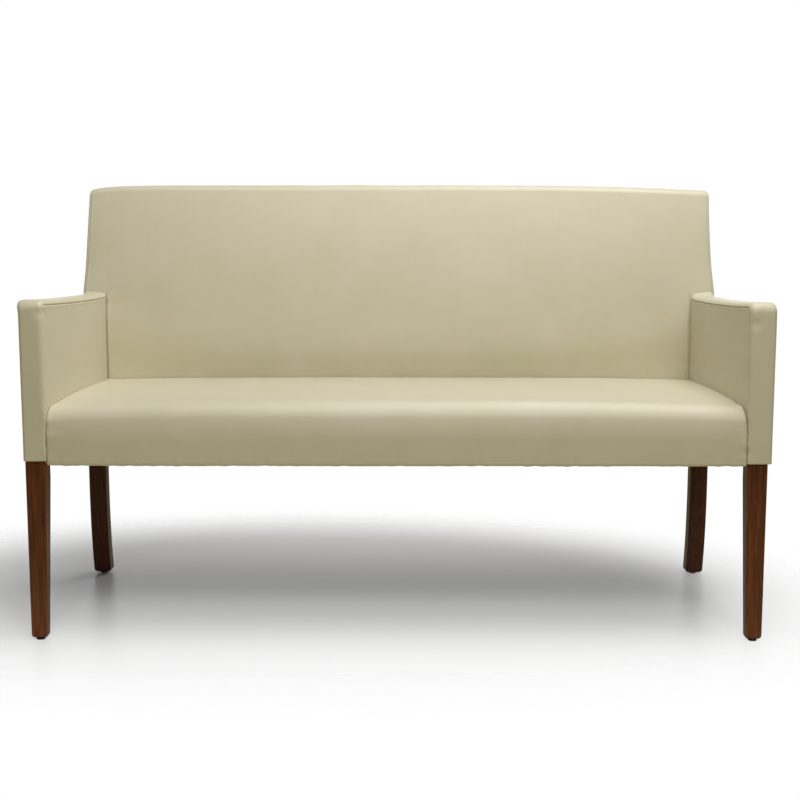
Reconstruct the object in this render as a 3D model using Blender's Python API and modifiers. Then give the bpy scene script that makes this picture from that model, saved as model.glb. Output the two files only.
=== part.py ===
"""Two-seat loveseat: hardwood frame, elastic webbing, foam padding and fitted leather covers.

All sizes are in metres. Depths are measured backwards from the fronts of the arms,
heights upwards from the floor, and widths outwards from the middle of the seat.
"""

import math

import bmesh
import bpy
from mathutils import Matrix, Vector

# Outside sizes
OVERALL_WIDTH = 1.452
SEAT_DEPTH = 0.496
BACK_TOP = 0.9065
ARM_TOP = 0.667
ARM_THICKNESS = 0.0515
SEAT_EDGE_TOP = 0.461
SEAT_BOTTOM = 0.351
COVER_BOTTOM = 0.3535

# Fit and sheet goods
FIT = 0.0003
FOAM_FIT = 0.0008
SEAM_FIT = 0.0008
MERGE = 0.00001
LEATHER = 0.0012
HARDBOARD = 0.003
CAMBRIC = 0.0008
OVERRUN = 0.005

# Shape of the soft parts
SEAT_CROWN = 0.012
SEAT_ROLL_RADIUS = 0.045
SEAT_FRONT_DRAW = 0.004
SEAT_HEM_RADIUS = 0.0045
SEAT_HEM_WIDTH = 0.022
SEAT_SIDE_RADIUS = 0.005
TUCK_HEIGHT = 0.079
BACK_TUCK_RISE = 0.010
ARM_FALL = 0.010
ARM_ROLL_RADIUS = 0.020
ARM_EDGE_RADIUS = 0.010
ARM_CROWN = 0.002
BACK_LEAN = 0.085
BACK_NARROWING = 0.0055
BACK_END_DROP = 0.010
BACK_CROWN = 0.006
BACK_EDGE_RADIUS = 0.013

# Padding over the frame
ARM_INNER_PAD = 0.005
ARM_OUTER_PAD = 0.0075
ARM_FRONT_PAD = 0.005
ARM_TOP_PAD = 0.027
BACK_TOP_PAD = 0.0215
SEAT_FRONT_PAD = 0.008

# Legs
FRONT_LEG_DEPTH = 0.036
FRONT_FOOT_WIDTH = 0.031
FRONT_FOOT_DEPTH = 0.022
FRONT_TAPER_TOP = 0.320
REAR_LEG_DEPTH = 0.034
REAR_LEG_CLEARANCE = 0.013
REAR_KICK = 0.024
REAR_KNEE = 0.220
POST_FRONT_BEND = 0.435
POST_FRONT_BLEND = 0.020
POST_REAR_BEND = 0.335
POST_REAR_BLEND = 0.030
POST_FRONT_RAKE = math.radians(16.0)
POST_REAR_RAKE = math.radians(13.0)
LEG_EDGE = 0.002
FOOT_CHAMFER = 0.004

# Glides
GLIDE_THICKNESS = 0.0037
GLIDE_RADIUS = 0.009
GLIDE_EDGE = 0.0012
NAIL_RADIUS = 0.0013
NAIL_LENGTH = 0.014
NAIL_POINT = 0.003

# Rails
RAIL_THICKNESS = 0.022
RAIL_HEIGHT = 0.058
CROSS_RAIL_HEIGHT = 0.038
ARM_RAIL_HEIGHT = 0.030
BACK_LOWER_RAIL_HEIGHT = 0.040
BACK_LOWER_RAIL_START = 0.122
BACK_TOP_RAIL_HEIGHT = 0.045
BACK_TOP_RAIL_DROP = 0.004
STILE_WIDTH = 0.045
TENON_LENGTH = 0.013
TENON_SHOULDER = 0.0045
BLOCK_REACH = 0.060
BLOCK_HEIGHT = 0.045

# Webbing
STRAP_WIDTH = 0.060
STRAP_THICKNESS = 0.0016
STRAP_END_INSET = 0.003
SEAT_STRAP_COUNT = 10
CROSS_STRAP_COUNT = 3
BACK_STRAPS_PER_BAY = 2

# Shares of the sizes that they follow
CENTRE_SHARES = Vector((0.5, 0.5, 0.5))
SEAT_CROWN_PLACE_SHARE = 0.24
SEAT_CROWN_LOSS_SHARE = 0.53
SEAT_WIDTH_CUT_SHARES = (0.06, 0.15, 0.27, 0.40, 0.50, 0.60, 0.73, 0.85, 0.94)
SEAT_DEPTH_CUT_SHARES = (0.13, 0.26, 0.42, 0.60, 0.80, 0.94)
SEAT_HEIGHT_CUT_SHARES = (0.30,)
ARM_WIDTH_CUT_SHARES = (0.50,)
ARM_DEPTH_CUT_SHARES = (0.08, 0.25, 0.50, 0.75, 0.94)
ARM_HEIGHT_CUT_SHARES = (0.26, 0.42, 0.60, 0.78, 0.90)
BACK_WIDTH_CUT_SHARES = (0.035, 0.10, 0.20, 0.35, 0.50, 0.65, 0.80, 0.90, 0.965)
BACK_HEIGHT_CUT_SHARES = (0.16, 0.28, 0.40, 0.50, 0.60, 0.70, 0.80, 0.90, 0.955)
BACK_DEPTH_CUT_SHARES = (0.50,)

# Share of a face's normal that lies along a direction when the face looks that way
FACING_SHARE = 0.5
SIDE_FACING_SHARE = 0.74

# Powers of the curves: the higher, the later and the sharper the curve turns
KICK_POWER = 2.2
LEAN_POWER = 2
CROWN_POWER = 4
FRONT_DRAW_POWER = 6
END_DROP_POWER = 8

# Counts
ROLL_SEGMENTS = 5
EDGE_SEGMENTS = 2
CORNER_SEGMENTS = 3
KICK_STEPS = 7
BEND_STEPS = 4
GLIDE_STEPS = 16
SHARP_ANGLE = math.radians(40.0)

# Widths worked out from the outside sizes
HALF_WIDTH = OVERALL_WIDTH / 2
ARM_INNER = HALF_WIDTH - ARM_THICKNESS
LEG_OUTER = HALF_WIDTH - ARM_OUTER_PAD
LEG_INNER = ARM_INNER + ARM_INNER_PAD
LEG_WIDTH = LEG_OUTER - LEG_INNER
SIDE_RAIL_OUTER = LEG_OUTER - HARDBOARD - FIT
SIDE_RAIL_INNER = SIDE_RAIL_OUTER - RAIL_THICKNESS
ARM_RAIL_INNER = LEG_INNER + HARDBOARD + FIT

# Heights worked out from the outside sizes
HEM_TOP = SEAT_BOTTOM + LEATHER
DUST_BOTTOM = HEM_TOP + FIT
RAIL_BOTTOM = DUST_BOTTOM + CAMBRIC + FIT
RAIL_TOP = RAIL_BOTTOM + RAIL_HEIGHT
STRAP_LEVEL = RAIL_TOP + FIT
FOAM_BOTTOM = STRAP_LEVEL + STRAP_THICKNESS + FIT + STRAP_THICKNESS + FIT
TUCK_TOP = SEAT_BOTTOM + TUCK_HEIGHT
BACK_FOOT = TUCK_TOP + BACK_TUCK_RISE
LEG_BOTTOM = GLIDE_THICKNESS + FIT
ARM_POST_TOP = ARM_TOP - ARM_TOP_PAD
BACK_POST_TOP = BACK_TOP - BACK_TOP_PAD

# Depths worked out from the outside sizes
FRONT_LEG_FRONT = ARM_FRONT_PAD
FRONT_LEG_REAR = FRONT_LEG_FRONT + FRONT_LEG_DEPTH
REAR_LEG_FRONT = SEAT_DEPTH - REAR_LEG_CLEARANCE
REAR_LEG_REAR = REAR_LEG_FRONT + REAR_LEG_DEPTH
FRONT_RAIL_FRONT = SEAT_FRONT_PAD
FRONT_RAIL_REAR = FRONT_RAIL_FRONT + RAIL_THICKNESS
REAR_RAIL_REAR = REAR_LEG_REAR - FIT
REAR_RAIL_FRONT = REAR_RAIL_REAR - RAIL_THICKNESS

# Sizes along the leaning back frame, from where the posts start to lean
RAKE_SECANT = 1 / math.cos(POST_REAR_RAKE)
RAKE_SLOPE = math.tan(POST_REAR_RAKE)
BACK_FRAME_FRONT = -RAIL_THICKNESS - FIT
BACK_STRAP_FRONT = BACK_FRAME_FRONT - FIT - STRAP_THICKNESS
BACK_TOP_RAIL_END = (BACK_POST_TOP - POST_REAR_BEND) * RAKE_SECANT - BACK_TOP_RAIL_DROP
BACK_TOP_RAIL_START = BACK_TOP_RAIL_END - BACK_TOP_RAIL_HEIGHT
BACK_LOWER_RAIL_END = BACK_LOWER_RAIL_START + BACK_LOWER_RAIL_HEIGHT
PANEL_DEPTH_ALLOWANCE = (HARDBOARD + FIT + FIT) * RAKE_SECANT


def leg_kick(height):
    """How far the rear leg sweeps back at a height below its knee."""
    if height >= REAR_KNEE:
        return 0.0
    fall_share = (REAR_KNEE - height) / REAR_KNEE
    return REAR_KICK * fall_share ** KICK_POWER


def lean(height, bend, blend, rake):
    """Run back of a line that is upright below its bend and leans above it."""
    if height <= bend - blend:
        return 0.0
    if height >= bend + blend:
        return (height - bend) * math.tan(rake)
    return math.tan(rake) * (height - bend + blend) ** 2 / (4 * blend)


def post_front(height):
    """Depth of the front edge of the rear leg and back post."""
    leaning = lean(height, POST_FRONT_BEND, POST_FRONT_BLEND, POST_FRONT_RAKE)
    return REAR_LEG_FRONT + leg_kick(height) + leaning


def post_rear(height):
    """Depth of the rear edge of the rear leg and back post."""
    leaning = lean(height, POST_REAR_BEND, POST_REAR_BLEND, POST_REAR_RAKE)
    return REAR_LEG_REAR + leg_kick(height) + leaning


def back_front(across, height):
    """Depth of the front of the back's cover, which leans more the higher it goes."""
    rise_share = max(0.0, (height - BACK_FOOT) / (BACK_TOP - BACK_FOOT))
    across_share = min(1.0, abs(across) / ARM_INNER)
    leaning = BACK_LEAN * rise_share ** LEAN_POWER
    return SEAT_DEPTH + leaning - BACK_CROWN * (1 - across_share ** CROWN_POWER)


def back_rear(height):
    """Depth of the plane that closes the back of the frame and its panel."""
    return REAR_LEG_REAR + (height - POST_REAR_BEND) * RAKE_SLOPE + PANEL_DEPTH_ALLOWANCE


OVERALL_DEPTH = back_rear(BACK_TOP) + FIT * RAKE_SECANT + LEATHER * math.cos(POST_REAR_RAKE)


def clear_scene():
    """Remove every object that the file opened with."""
    for item in list(bpy.data.objects):
        bpy.data.objects.remove(item, do_unlink=True)


def new_collection(name):
    """Add a collection to the scene."""
    collection = bpy.data.collections.new(name)
    bpy.context.scene.collection.children.link(collection)
    return collection


def linear(hex_colour):
    """Turn an sRGB hex colour into linear red, green, blue and alpha."""
    channels = [int(hex_colour[i:i + 2], 16) / 255 for i in (0, 2, 4)]
    curve = [c / 12.92 if c <= 0.04045 else ((c + 0.055) / 1.055) ** 2.4 for c in channels]
    return (*curve, 1.0)


def finish(name, hex_colour, roughness, metallic=0.0):
    """Make a Principled material."""
    material = bpy.data.materials.new(name)
    material.use_nodes = True
    shader = material.node_tree.nodes["Principled BSDF"]
    shader.inputs["Base Color"].default_value = linear(hex_colour)
    shader.inputs["Roughness"].default_value = roughness
    shader.inputs["Metallic"].default_value = metallic
    material.diffuse_color = linear(hex_colour)
    return material


def add_empty(name, location, rotation=(0.0, 0.0, 0.0), parent=None):
    """Add an empty that carries pieces."""
    empty = bpy.data.objects.new(name, None)
    PARTS.objects.link(empty)
    empty.location = location
    empty.rotation_euler = rotation
    empty.parent = parent
    return empty


def add_piece(name, bm, material, origin=(0.0, 0.0, 0.0), parent=None, smooth=False):
    """Make an object of a bmesh that is drawn in its parent's frame, with its own origin."""
    origin = Vector(origin)
    bmesh.ops.translate(bm, verts=bm.verts, vec=-origin)
    mesh = bpy.data.meshes.new(name)
    bm.to_mesh(mesh)
    bm.free()
    if smooth:
        mesh.shade_smooth()
        mesh.set_sharp_from_angle(angle=SHARP_ANGLE)
    mesh.materials.append(material)
    piece = bpy.data.objects.new(name, mesh)
    PARTS.objects.link(piece)
    piece.location = origin
    piece.parent = parent or FLOOR_FRONT
    return piece


def add_cutter(name, bm, parent=None):
    """Make a hidden object that only cuts others."""
    mesh = bpy.data.meshes.new(name)
    bm.to_mesh(mesh)
    bm.free()
    cutter = bpy.data.objects.new(name, mesh)
    CUTTERS.objects.link(cutter)
    cutter.parent = parent or FLOOR_FRONT
    cutter.hide_render = True
    cutter.display_type = "WIRE"
    return cutter


def cut(piece, *cutters):
    """Cut a piece by each cutter in turn."""
    for cutter in cutters:
        modifier = piece.modifiers.new(cutter.name, "BOOLEAN")
        modifier.operation = "DIFFERENCE"
        modifier.solver = "EXACT"
        modifier.object = cutter


def ease_edges(piece, width):
    """Take the sharpness off a piece's edges."""
    modifier = piece.modifiers.new("eased edges", "BEVEL")
    modifier.width = width
    modifier.segments = 1
    modifier.limit_method = "ANGLE"
    modifier.angle_limit = SHARP_ANGLE


def thicken(piece, thickness, side=-1.0):
    """Give an open skin its thickness, inwards unless told otherwise."""
    modifier = piece.modifiers.new("leather thickness", "SOLIDIFY")
    modifier.thickness = thickness
    modifier.offset = side
    modifier.use_even_offset = True


def unit_block(*cut_shares):
    """A cube from 0 to 1, cut at shares of its width, depth and height."""
    bm = bmesh.new()
    bmesh.ops.create_cube(bm, size=1.0, matrix=Matrix.Translation(CENTRE_SHARES))
    for axis, shares in enumerate(cut_shares):
        normal = Vector((0.0, 0.0, 0.0))
        normal[axis] = 1.0
        for share in shares:
            geometry = bm.verts[:] + bm.edges[:] + bm.faces[:]
            bmesh.ops.bisect_plane(bm, geom=geometry, plane_co=normal * share, plane_no=normal)
    return bm


def box(low, high):
    """A plain box between two corners."""
    bm = unit_block()
    low, high = Vector(low), Vector(high)
    for vertex in bm.verts:
        vertex.co = low + vertex.co * (high - low)
    return bm


def split_level(bm, height):
    """Cut every face that crosses a height."""
    geometry = bm.verts[:] + bm.edges[:] + bm.faces[:]
    level = Vector((0.0, 0.0, height))
    bmesh.ops.bisect_plane(bm, geom=geometry, plane_co=level, plane_no=(0.0, 0.0, 1.0))


def drop_faces(bm, test):
    """Delete the faces whose normal and middle pass a test."""
    bm.normal_update()
    faces = [face for face in bm.faces if test(face.normal, face.calc_center_median())]
    bmesh.ops.delete(bm, geom=faces, context="FACES")


def round_edges(bm, test, radius, segments):
    """Round the edges that pass a test."""
    edges = [edge for edge in bm.edges if test(edge)]
    bmesh.ops.bevel(bm, geom=edges, offset=radius, offset_type="OFFSET", segments=segments,
                    profile=0.5, affect="EDGES", clamp_overlap=False, material=-1)


def runs_between(edge, first, second):
    """Whether an edge has a face of one kind on one side and of another kind on the other."""
    if len(edge.link_faces) != 2:
        return False
    one, other = (face.normal for face in edge.link_faces)
    return (first(one) and second(other)) or (first(other) and second(one))


def faces_side(normal):
    """Whether a face looks left or right."""
    return abs(normal.x) > SIDE_FACING_SHARE


def faces_up(normal):
    """Whether a face looks up."""
    return normal.z > FACING_SHARE


def faces_down(normal):
    """Whether a face looks down."""
    return normal.z < -FACING_SHARE


def faces_forward(normal):
    """Whether a face looks to the front."""
    return normal.y < -FACING_SHARE


def faces_back(normal):
    """Whether a face looks to the rear."""
    return normal.y > FACING_SHARE


def turn_outwards(bm):
    """Make the faces of a closed body look outwards."""
    bmesh.ops.recalc_face_normals(bm, faces=bm.faces)
    if bm.calc_volume(signed=True) < 0.0:
        bmesh.ops.reverse_faces(bm, faces=bm.faces)


def outline_block(points, thickness):
    """A flat outline with a thickness, in the plane of its first two axes."""
    curve = bpy.data.curves.new("outline", "CURVE")
    curve.dimensions = "2D"
    curve.fill_mode = "BOTH"
    curve.extrude = thickness / 2
    spline = curve.splines.new("POLY")
    spline.points.add(len(points) - 1)
    for point, (across, up) in zip(spline.points, points):
        point.co = (across, up, 0.0, 1.0)
    spline.use_cyclic_u = True
    guide = bpy.data.objects.new("outline", curve)
    CUTTERS.objects.link(guide)
    bpy.context.view_layer.update()
    evaluated = guide.evaluated_get(bpy.context.evaluated_depsgraph_get())
    mesh = bpy.data.meshes.new_from_object(evaluated)
    bm = bmesh.new()
    bm.from_mesh(mesh)
    bmesh.ops.remove_doubles(bm, verts=bm.verts, dist=MERGE)
    turn_outwards(bm)
    bpy.data.objects.remove(guide, do_unlink=True)
    bpy.data.curves.remove(curve)
    bpy.data.meshes.remove(mesh)
    return bm


def side_outline_block(points, inner, outer):
    """An outline of depths and heights, as thick as the stretch between two widths."""
    bm = outline_block(points, abs(outer - inner))
    turn = Matrix(((0, 0, 1, (inner + outer) / 2), (1, 0, 0, 0), (0, 1, 0, 0), (0, 0, 0, 1)))
    bmesh.ops.transform(bm, matrix=turn, verts=bm.verts)
    return bm


def plan_outline_block(points, bottom, top):
    """An outline of widths and depths, as thick as the stretch between two heights."""
    bm = outline_block(points, top - bottom)
    middle = Vector((0.0, 0.0, (bottom + top) / 2))
    bmesh.ops.translate(bm, verts=bm.verts, vec=middle)
    return bm


def tenoned(low, high, axis):
    """A rail between two shoulders, with a tenon at each end along its axis."""
    bm = box(low, high)
    bm.normal_update()
    ends = [face for face in bm.faces if abs(face.normal[axis]) > FACING_SHARE]
    for end in ends:
        step = end.normal * TENON_LENGTH
        bmesh.ops.inset_individual(bm, faces=[end], thickness=TENON_SHOULDER,
                                    use_even_offset=True)
        tip = bmesh.ops.extrude_discrete_faces(bm, faces=[end])["faces"][0]
        bmesh.ops.translate(bm, verts=tip.verts, vec=step)
    return bm


def mortise(name, low, high, axis, end, parent=None):
    """A cutter for the tenon at one end, -1 low or 1 high, of a rail."""
    shoulder = Vector((TENON_SHOULDER - FIT,) * 3)
    shoulder[axis] = 0.0
    start = Vector(low) + shoulder
    stop = Vector(high) - shoulder
    reach = TENON_LENGTH + FIT
    if end > 0:
        start[axis] = high[axis] - OVERRUN
        stop[axis] = high[axis] + reach
    else:
        stop[axis] = low[axis] + OVERRUN
        start[axis] = low[axis] - reach
    return add_cutter(name, box(start, stop), parent)


def seat_body(inset):
    """The closed form of the seat, inset by the skin that covers it.

    The hem is turned under, so the bottom lies two skins up.
    """
    half = ARM_INNER - FIT - inset
    bottom = SEAT_BOTTOM + inset + inset
    crown_place = SEAT_DEPTH * SEAT_CROWN_PLACE_SHARE
    bm = unit_block(SEAT_WIDTH_CUT_SHARES, SEAT_DEPTH_CUT_SHARES, SEAT_HEIGHT_CUT_SHARES)
    for vertex in bm.verts:
        share = vertex.co.copy()
        side_share = share.x + share.x - 1
        x = half * side_share
        y = inset + share.y * (SEAT_DEPTH - inset)
        along_share = (y - crown_place) / (SEAT_DEPTH - crown_place)
        left_share = 1 - SEAT_CROWN_LOSS_SHARE * along_share ** LEAN_POWER
        crown = SEAT_CROWN * (1 - side_share ** CROWN_POWER) * left_share
        top = SEAT_EDGE_TOP + crown - inset
        z = bottom + share.z * (top - bottom)
        if share.y == 0.0:
            y += SEAT_FRONT_DRAW * side_share ** FRONT_DRAW_POWER
        if share.y == 1.0:
            y = back_front(x, z) - SEAM_FIT - inset
        vertex.co = (x, y, z)
    bm.normal_update()
    round_edges(bm, lambda e: runs_between(e, faces_up, faces_forward),
                SEAT_ROLL_RADIUS - inset, ROLL_SEGMENTS)
    bm.normal_update()
    round_edges(bm, lambda e: runs_between(e, faces_down, faces_forward),
                SEAT_HEM_RADIUS - inset, EDGE_SEGMENTS)
    bm.normal_update()
    round_edges(bm, lambda e: runs_between(e, faces_side, lambda n: not faces_side(n) and
                                           not faces_down(n) and not faces_back(n)),
                SEAT_SIDE_RADIUS - inset, EDGE_SEGMENTS)
    return bm


def arm_body(side, inset):
    """The closed form of an arm, side -1 or 1, inset by the skin that covers it."""
    inner = ARM_INNER + inset
    outer = HALF_WIDTH - inset
    bottom = COVER_BOTTOM + inset
    bm = unit_block(ARM_WIDTH_CUT_SHARES, ARM_DEPTH_CUT_SHARES, ARM_HEIGHT_CUT_SHARES)
    for vertex in bm.verts:
        share = vertex.co.copy()
        x = inner + share.x * (outer - inner)
        y = inset + share.y * (SEAT_DEPTH - inset)
        top = ARM_TOP - ARM_FALL * y / SEAT_DEPTH - inset
        if 0.0 < share.x < 1.0:
            top += ARM_CROWN
        z = bottom + share.z * (top - bottom)
        if share.y == 1.0:
            y = back_front(ARM_INNER, z) - SEAM_FIT - inset
        vertex.co = (x, y, z)
    bm.normal_update()
    round_edges(bm, lambda e: runs_between(e, faces_up, faces_forward),
                ARM_ROLL_RADIUS - inset, CORNER_SEGMENTS)
    bm.normal_update()
    round_edges(bm, lambda e: runs_between(e, faces_side, lambda n: not faces_side(n) and
                                           not faces_down(n) and not faces_back(n)),
                ARM_EDGE_RADIUS - inset, EDGE_SEGMENTS)
    for vertex in bm.verts:
        vertex.co.x *= side
    turn_outwards(bm)
    return bm


def back_body(inset):
    """The closed form of the upholstered back, inset by the skin that covers it."""
    bottom = COVER_BOTTOM + inset
    bm = unit_block(BACK_WIDTH_CUT_SHARES, BACK_DEPTH_CUT_SHARES, BACK_HEIGHT_CUT_SHARES)
    for vertex in bm.verts:
        share = vertex.co.copy()
        side_share = share.x + share.x - 1
        top = BACK_TOP - BACK_END_DROP * abs(side_share) ** END_DROP_POWER - inset
        z = bottom + share.z * (top - bottom)
        above_share = max(0.0, (z - ARM_TOP) / (BACK_TOP - ARM_TOP))
        x = side_share * (HALF_WIDTH - inset - BACK_NARROWING * above_share)
        front = back_front(x, z) + inset
        vertex.co = (x, front + share.y * (back_rear(z) - front), z)
    bm.normal_update()
    round_edges(bm, lambda e: runs_between(e, faces_forward, lambda n: faces_up(n) or
                                           faces_side(n)) or runs_between(e, faces_side, faces_up),
                BACK_EDGE_RADIUS - inset, CORNER_SEGMENTS)
    return bm


def post_outline(grow):
    """The side outline of the rear leg and back post, grown by a clearance."""
    kick = [LEG_BOTTOM + (REAR_KNEE - LEG_BOTTOM) * i / KICK_STEPS for i in range(KICK_STEPS + 1)]
    steps = [i / BEND_STEPS for i in range(BEND_STEPS + 1)]
    front_bend = [POST_FRONT_BEND + POST_FRONT_BLEND * (s + s - 1) for s in steps]
    rear_bend = [POST_REAR_BEND + POST_REAR_BLEND * (s + s - 1) for s in steps]
    front = [(post_front(z) - grow, z) for z in kick + front_bend + [BACK_POST_TOP + grow]]
    rear = [(post_rear(z) + grow, z) for z in kick + rear_bend + [BACK_POST_TOP + grow]]
    return front + rear[::-1]


def glide_profile():
    """The half section of a nail glide, from the nail's point down to the floor."""
    shank = GLIDE_THICKNESS + NAIL_LENGTH - NAIL_POINT
    return ((0.0, GLIDE_THICKNESS + NAIL_LENGTH), (NAIL_RADIUS, shank),
            (NAIL_RADIUS, GLIDE_THICKNESS), (GLIDE_RADIUS - GLIDE_EDGE, GLIDE_THICKNESS),
            (GLIDE_RADIUS, GLIDE_THICKNESS - GLIDE_EDGE), (GLIDE_RADIUS, GLIDE_EDGE),
            (GLIDE_RADIUS - GLIDE_EDGE, 0.0), (0.0, 0.0))


def add_glide(name, x, y):
    """A nail-on glide under a leg, turned from its profile."""
    bm = bmesh.new()
    points = [bm.verts.new((radius, 0.0, height)) for radius, height in glide_profile()]
    for start, stop in zip(points, points[1:]):
        bm.edges.new((start, stop))
    mesh = bpy.data.meshes.new(name)
    bm.to_mesh(mesh)
    bm.free()
    mesh.materials.append(GLIDE_PLASTIC)
    glide = bpy.data.objects.new(name, mesh)
    PARTS.objects.link(glide)
    glide.location = (x, y, 0.0)
    glide.parent = FLOOR_FRONT
    turning = glide.modifiers.new("turned", "SCREW")
    turning.steps = GLIDE_STEPS
    turning.render_steps = GLIDE_STEPS
    turning.use_merge_vertices = True
    turning.merge_threshold = MERGE
    turning.use_smooth_shade = True


def nail_hole(name, x, y):
    """The hole that a glide's nail sits in."""
    bm = bmesh.new()
    top = GLIDE_THICKNESS + NAIL_LENGTH + FIT
    bottom = LEG_BOTTOM - OVERRUN
    middle = Matrix.Translation((x, y, (bottom + top) / 2))
    bmesh.ops.create_cone(bm, cap_ends=True, segments=GLIDE_STEPS, radius1=NAIL_RADIUS + FIT,
                          radius2=NAIL_RADIUS + FIT, depth=top - bottom, matrix=middle)
    return add_cutter(name, bm)


def front_leg_form(side):
    """The front leg and arm post in one, tapered on its inner and rear faces to the foot."""
    taper_share = (FRONT_TAPER_TOP - LEG_BOTTOM) / (ARM_POST_TOP - LEG_BOTTOM)
    bm = unit_block((), (), (taper_share,))
    for vertex in bm.verts:
        share = vertex.co.copy()
        width = FRONT_FOOT_WIDTH if share.z == 0.0 else LEG_WIDTH
        depth = FRONT_FOOT_DEPTH if share.z == 0.0 else FRONT_LEG_DEPTH
        z = LEG_BOTTOM + share.z * (ARM_POST_TOP - LEG_BOTTOM)
        x = LEG_OUTER - width * (1 - share.x)
        vertex.co = (side * x, FRONT_LEG_FRONT + depth * share.y, z)
    turn_outwards(bm)
    return bm


def chamfer_foot(bm):
    """Chamfer the edges round the floor end of a leg."""
    edges = [edge for edge in bm.edges
             if all(vertex.co.z < LEG_BOTTOM + MERGE for vertex in edge.verts)]
    bmesh.ops.bevel(bm, geom=edges, offset=FOOT_CHAMFER, offset_type="OFFSET", segments=1,
                    profile=0.5, affect="EDGES", clamp_overlap=False, material=-1)


def build_front_leg(name, side):
    """One front leg with its glide, and the mortises that its rails need."""
    foot_x = side * (LEG_OUTER - FRONT_FOOT_WIDTH / 2)
    foot_y = FRONT_LEG_FRONT + FRONT_FOOT_DEPTH / 2
    bm = front_leg_form(side)
    chamfer_foot(bm)
    leg = add_piece(f"front_leg_{name}", bm, WALNUT, (foot_x, foot_y, LEG_BOTTOM))
    ease_edges(leg, LEG_EDGE)
    add_glide(f"front_glide_{name}", foot_x, foot_y)
    cut(leg, nail_hole(f"front nail hole {name}", foot_x, foot_y))
    return leg


def build_rear_leg(name, side):
    """One rear leg that runs on as the raked back post, with its glide."""
    foot_x = side * (LEG_INNER + LEG_WIDTH / 2)
    foot_y = (post_front(LEG_BOTTOM) + post_rear(LEG_BOTTOM)) / 2
    bm = side_outline_block(post_outline(0.0), side * LEG_INNER, side * LEG_OUTER)
    chamfer_foot(bm)
    leg = add_piece(f"rear_leg_{name}", bm, WALNUT, (foot_x, foot_y, LEG_BOTTOM))
    ease_edges(leg, LEG_EDGE)
    add_glide(f"rear_glide_{name}", foot_x, foot_y)
    cut(leg, nail_hole(f"rear nail hole {name}", foot_x, foot_y))
    return leg


def side_box(side, inner, outer, front, rear, bottom, top):
    """The low and high corners of a box on one side, from its inner and outer widths."""
    low_x, high_x = sorted((side * inner, side * outer))
    return (low_x, front, bottom), (high_x, rear, top)


def build_side_rail(name, side, front_leg, rear_leg):
    """The seat's side rail, tenoned into both legs."""
    low, high = side_box(side, SIDE_RAIL_INNER, SIDE_RAIL_OUTER, FRONT_LEG_REAR + FIT,
                         REAR_LEG_FRONT - FIT, RAIL_BOTTOM, RAIL_TOP)
    add_piece(f"seat_side_rail_{name}", tenoned(low, high, 1), BEECH)
    cut(front_leg, mortise(f"side rail front mortise {name}", low, high, 1, -1))
    cut(rear_leg, mortise(f"side rail rear mortise {name}", low, high, 1, 1))


def build_arm_rail(name, side, front_leg, rear_leg):
    """The rail under the arm's top, whose rear shoulder follows the raked post."""
    bottom = ARM_POST_TOP - ARM_RAIL_HEIGHT
    shoulder = post_front(bottom) - FIT
    low, high = side_box(side, ARM_RAIL_INNER, SIDE_RAIL_OUTER, FRONT_LEG_REAR + FIT,
                         shoulder, bottom, ARM_POST_TOP)
    bm = tenoned(low, high, 1)
    for vertex in bm.verts:
        if abs(vertex.co.y - shoulder) < MERGE:
            vertex.co.y = post_front(vertex.co.z) - FIT
    add_piece(f"arm_rail_{name}", bm, BEECH)
    cut(front_leg, mortise(f"arm rail front mortise {name}", low, high, 1, -1))
    cut(rear_leg, mortise(f"arm rail rear mortise {name}", low, high, 1, 1))


def build_corner_block(name, side, at_front):
    """A glued block in a corner of the seat frame, notched round the leg."""
    leg_run = SIDE_RAIL_INNER - LEG_INNER + FIT
    if at_front:
        rail_face, turn = FRONT_RAIL_REAR, 1
        leg_rise = FRONT_LEG_REAR - FRONT_RAIL_REAR + FIT
    else:
        rail_face, turn = REAR_RAIL_FRONT, -1
        leg_rise = REAR_RAIL_FRONT - REAR_LEG_FRONT + FIT
    corner = ((BLOCK_REACH, FIT), (leg_run, FIT), (leg_run, leg_rise), (FIT, leg_rise),
              (FIT, BLOCK_REACH))
    points = [(side * (SIDE_RAIL_INNER - run), rail_face + turn * rise) for run, rise in corner]
    bm = plan_outline_block(points, RAIL_BOTTOM, RAIL_BOTTOM + BLOCK_HEIGHT)
    place = "front" if at_front else "rear"
    add_piece(f"corner_block_{place}_{name}", bm, BEECH)


def arm_panel_points(bottom):
    """The outline of an arm panel, let in between the arm's post and the back post."""
    front = FRONT_LEG_REAR + FIT
    bends = [POST_FRONT_BEND + POST_FRONT_BLEND * s for s in (-1, 0, 1)]
    rear = [(post_front(z) - FIT - FIT, z) for z in [bottom] + bends + [ARM_POST_TOP]]
    return [(front, bottom)] + rear + [(front, ARM_POST_TOP)]


def build_arm_panels(name, side):
    """Hardboard panels inside and outside the arm, flush with its posts."""
    inner = side_outline_block(arm_panel_points(TUCK_TOP), side * LEG_INNER,
                               side * (LEG_INNER + HARDBOARD))
    add_piece(f"arm_inner_panel_{name}", inner, BROWN_BOARD)
    outer = side_outline_block(arm_panel_points(RAIL_BOTTOM), side * (LEG_OUTER - HARDBOARD),
                               side * LEG_OUTER)
    add_piece(f"arm_outer_panel_{name}", outer, BROWN_BOARD)


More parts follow.
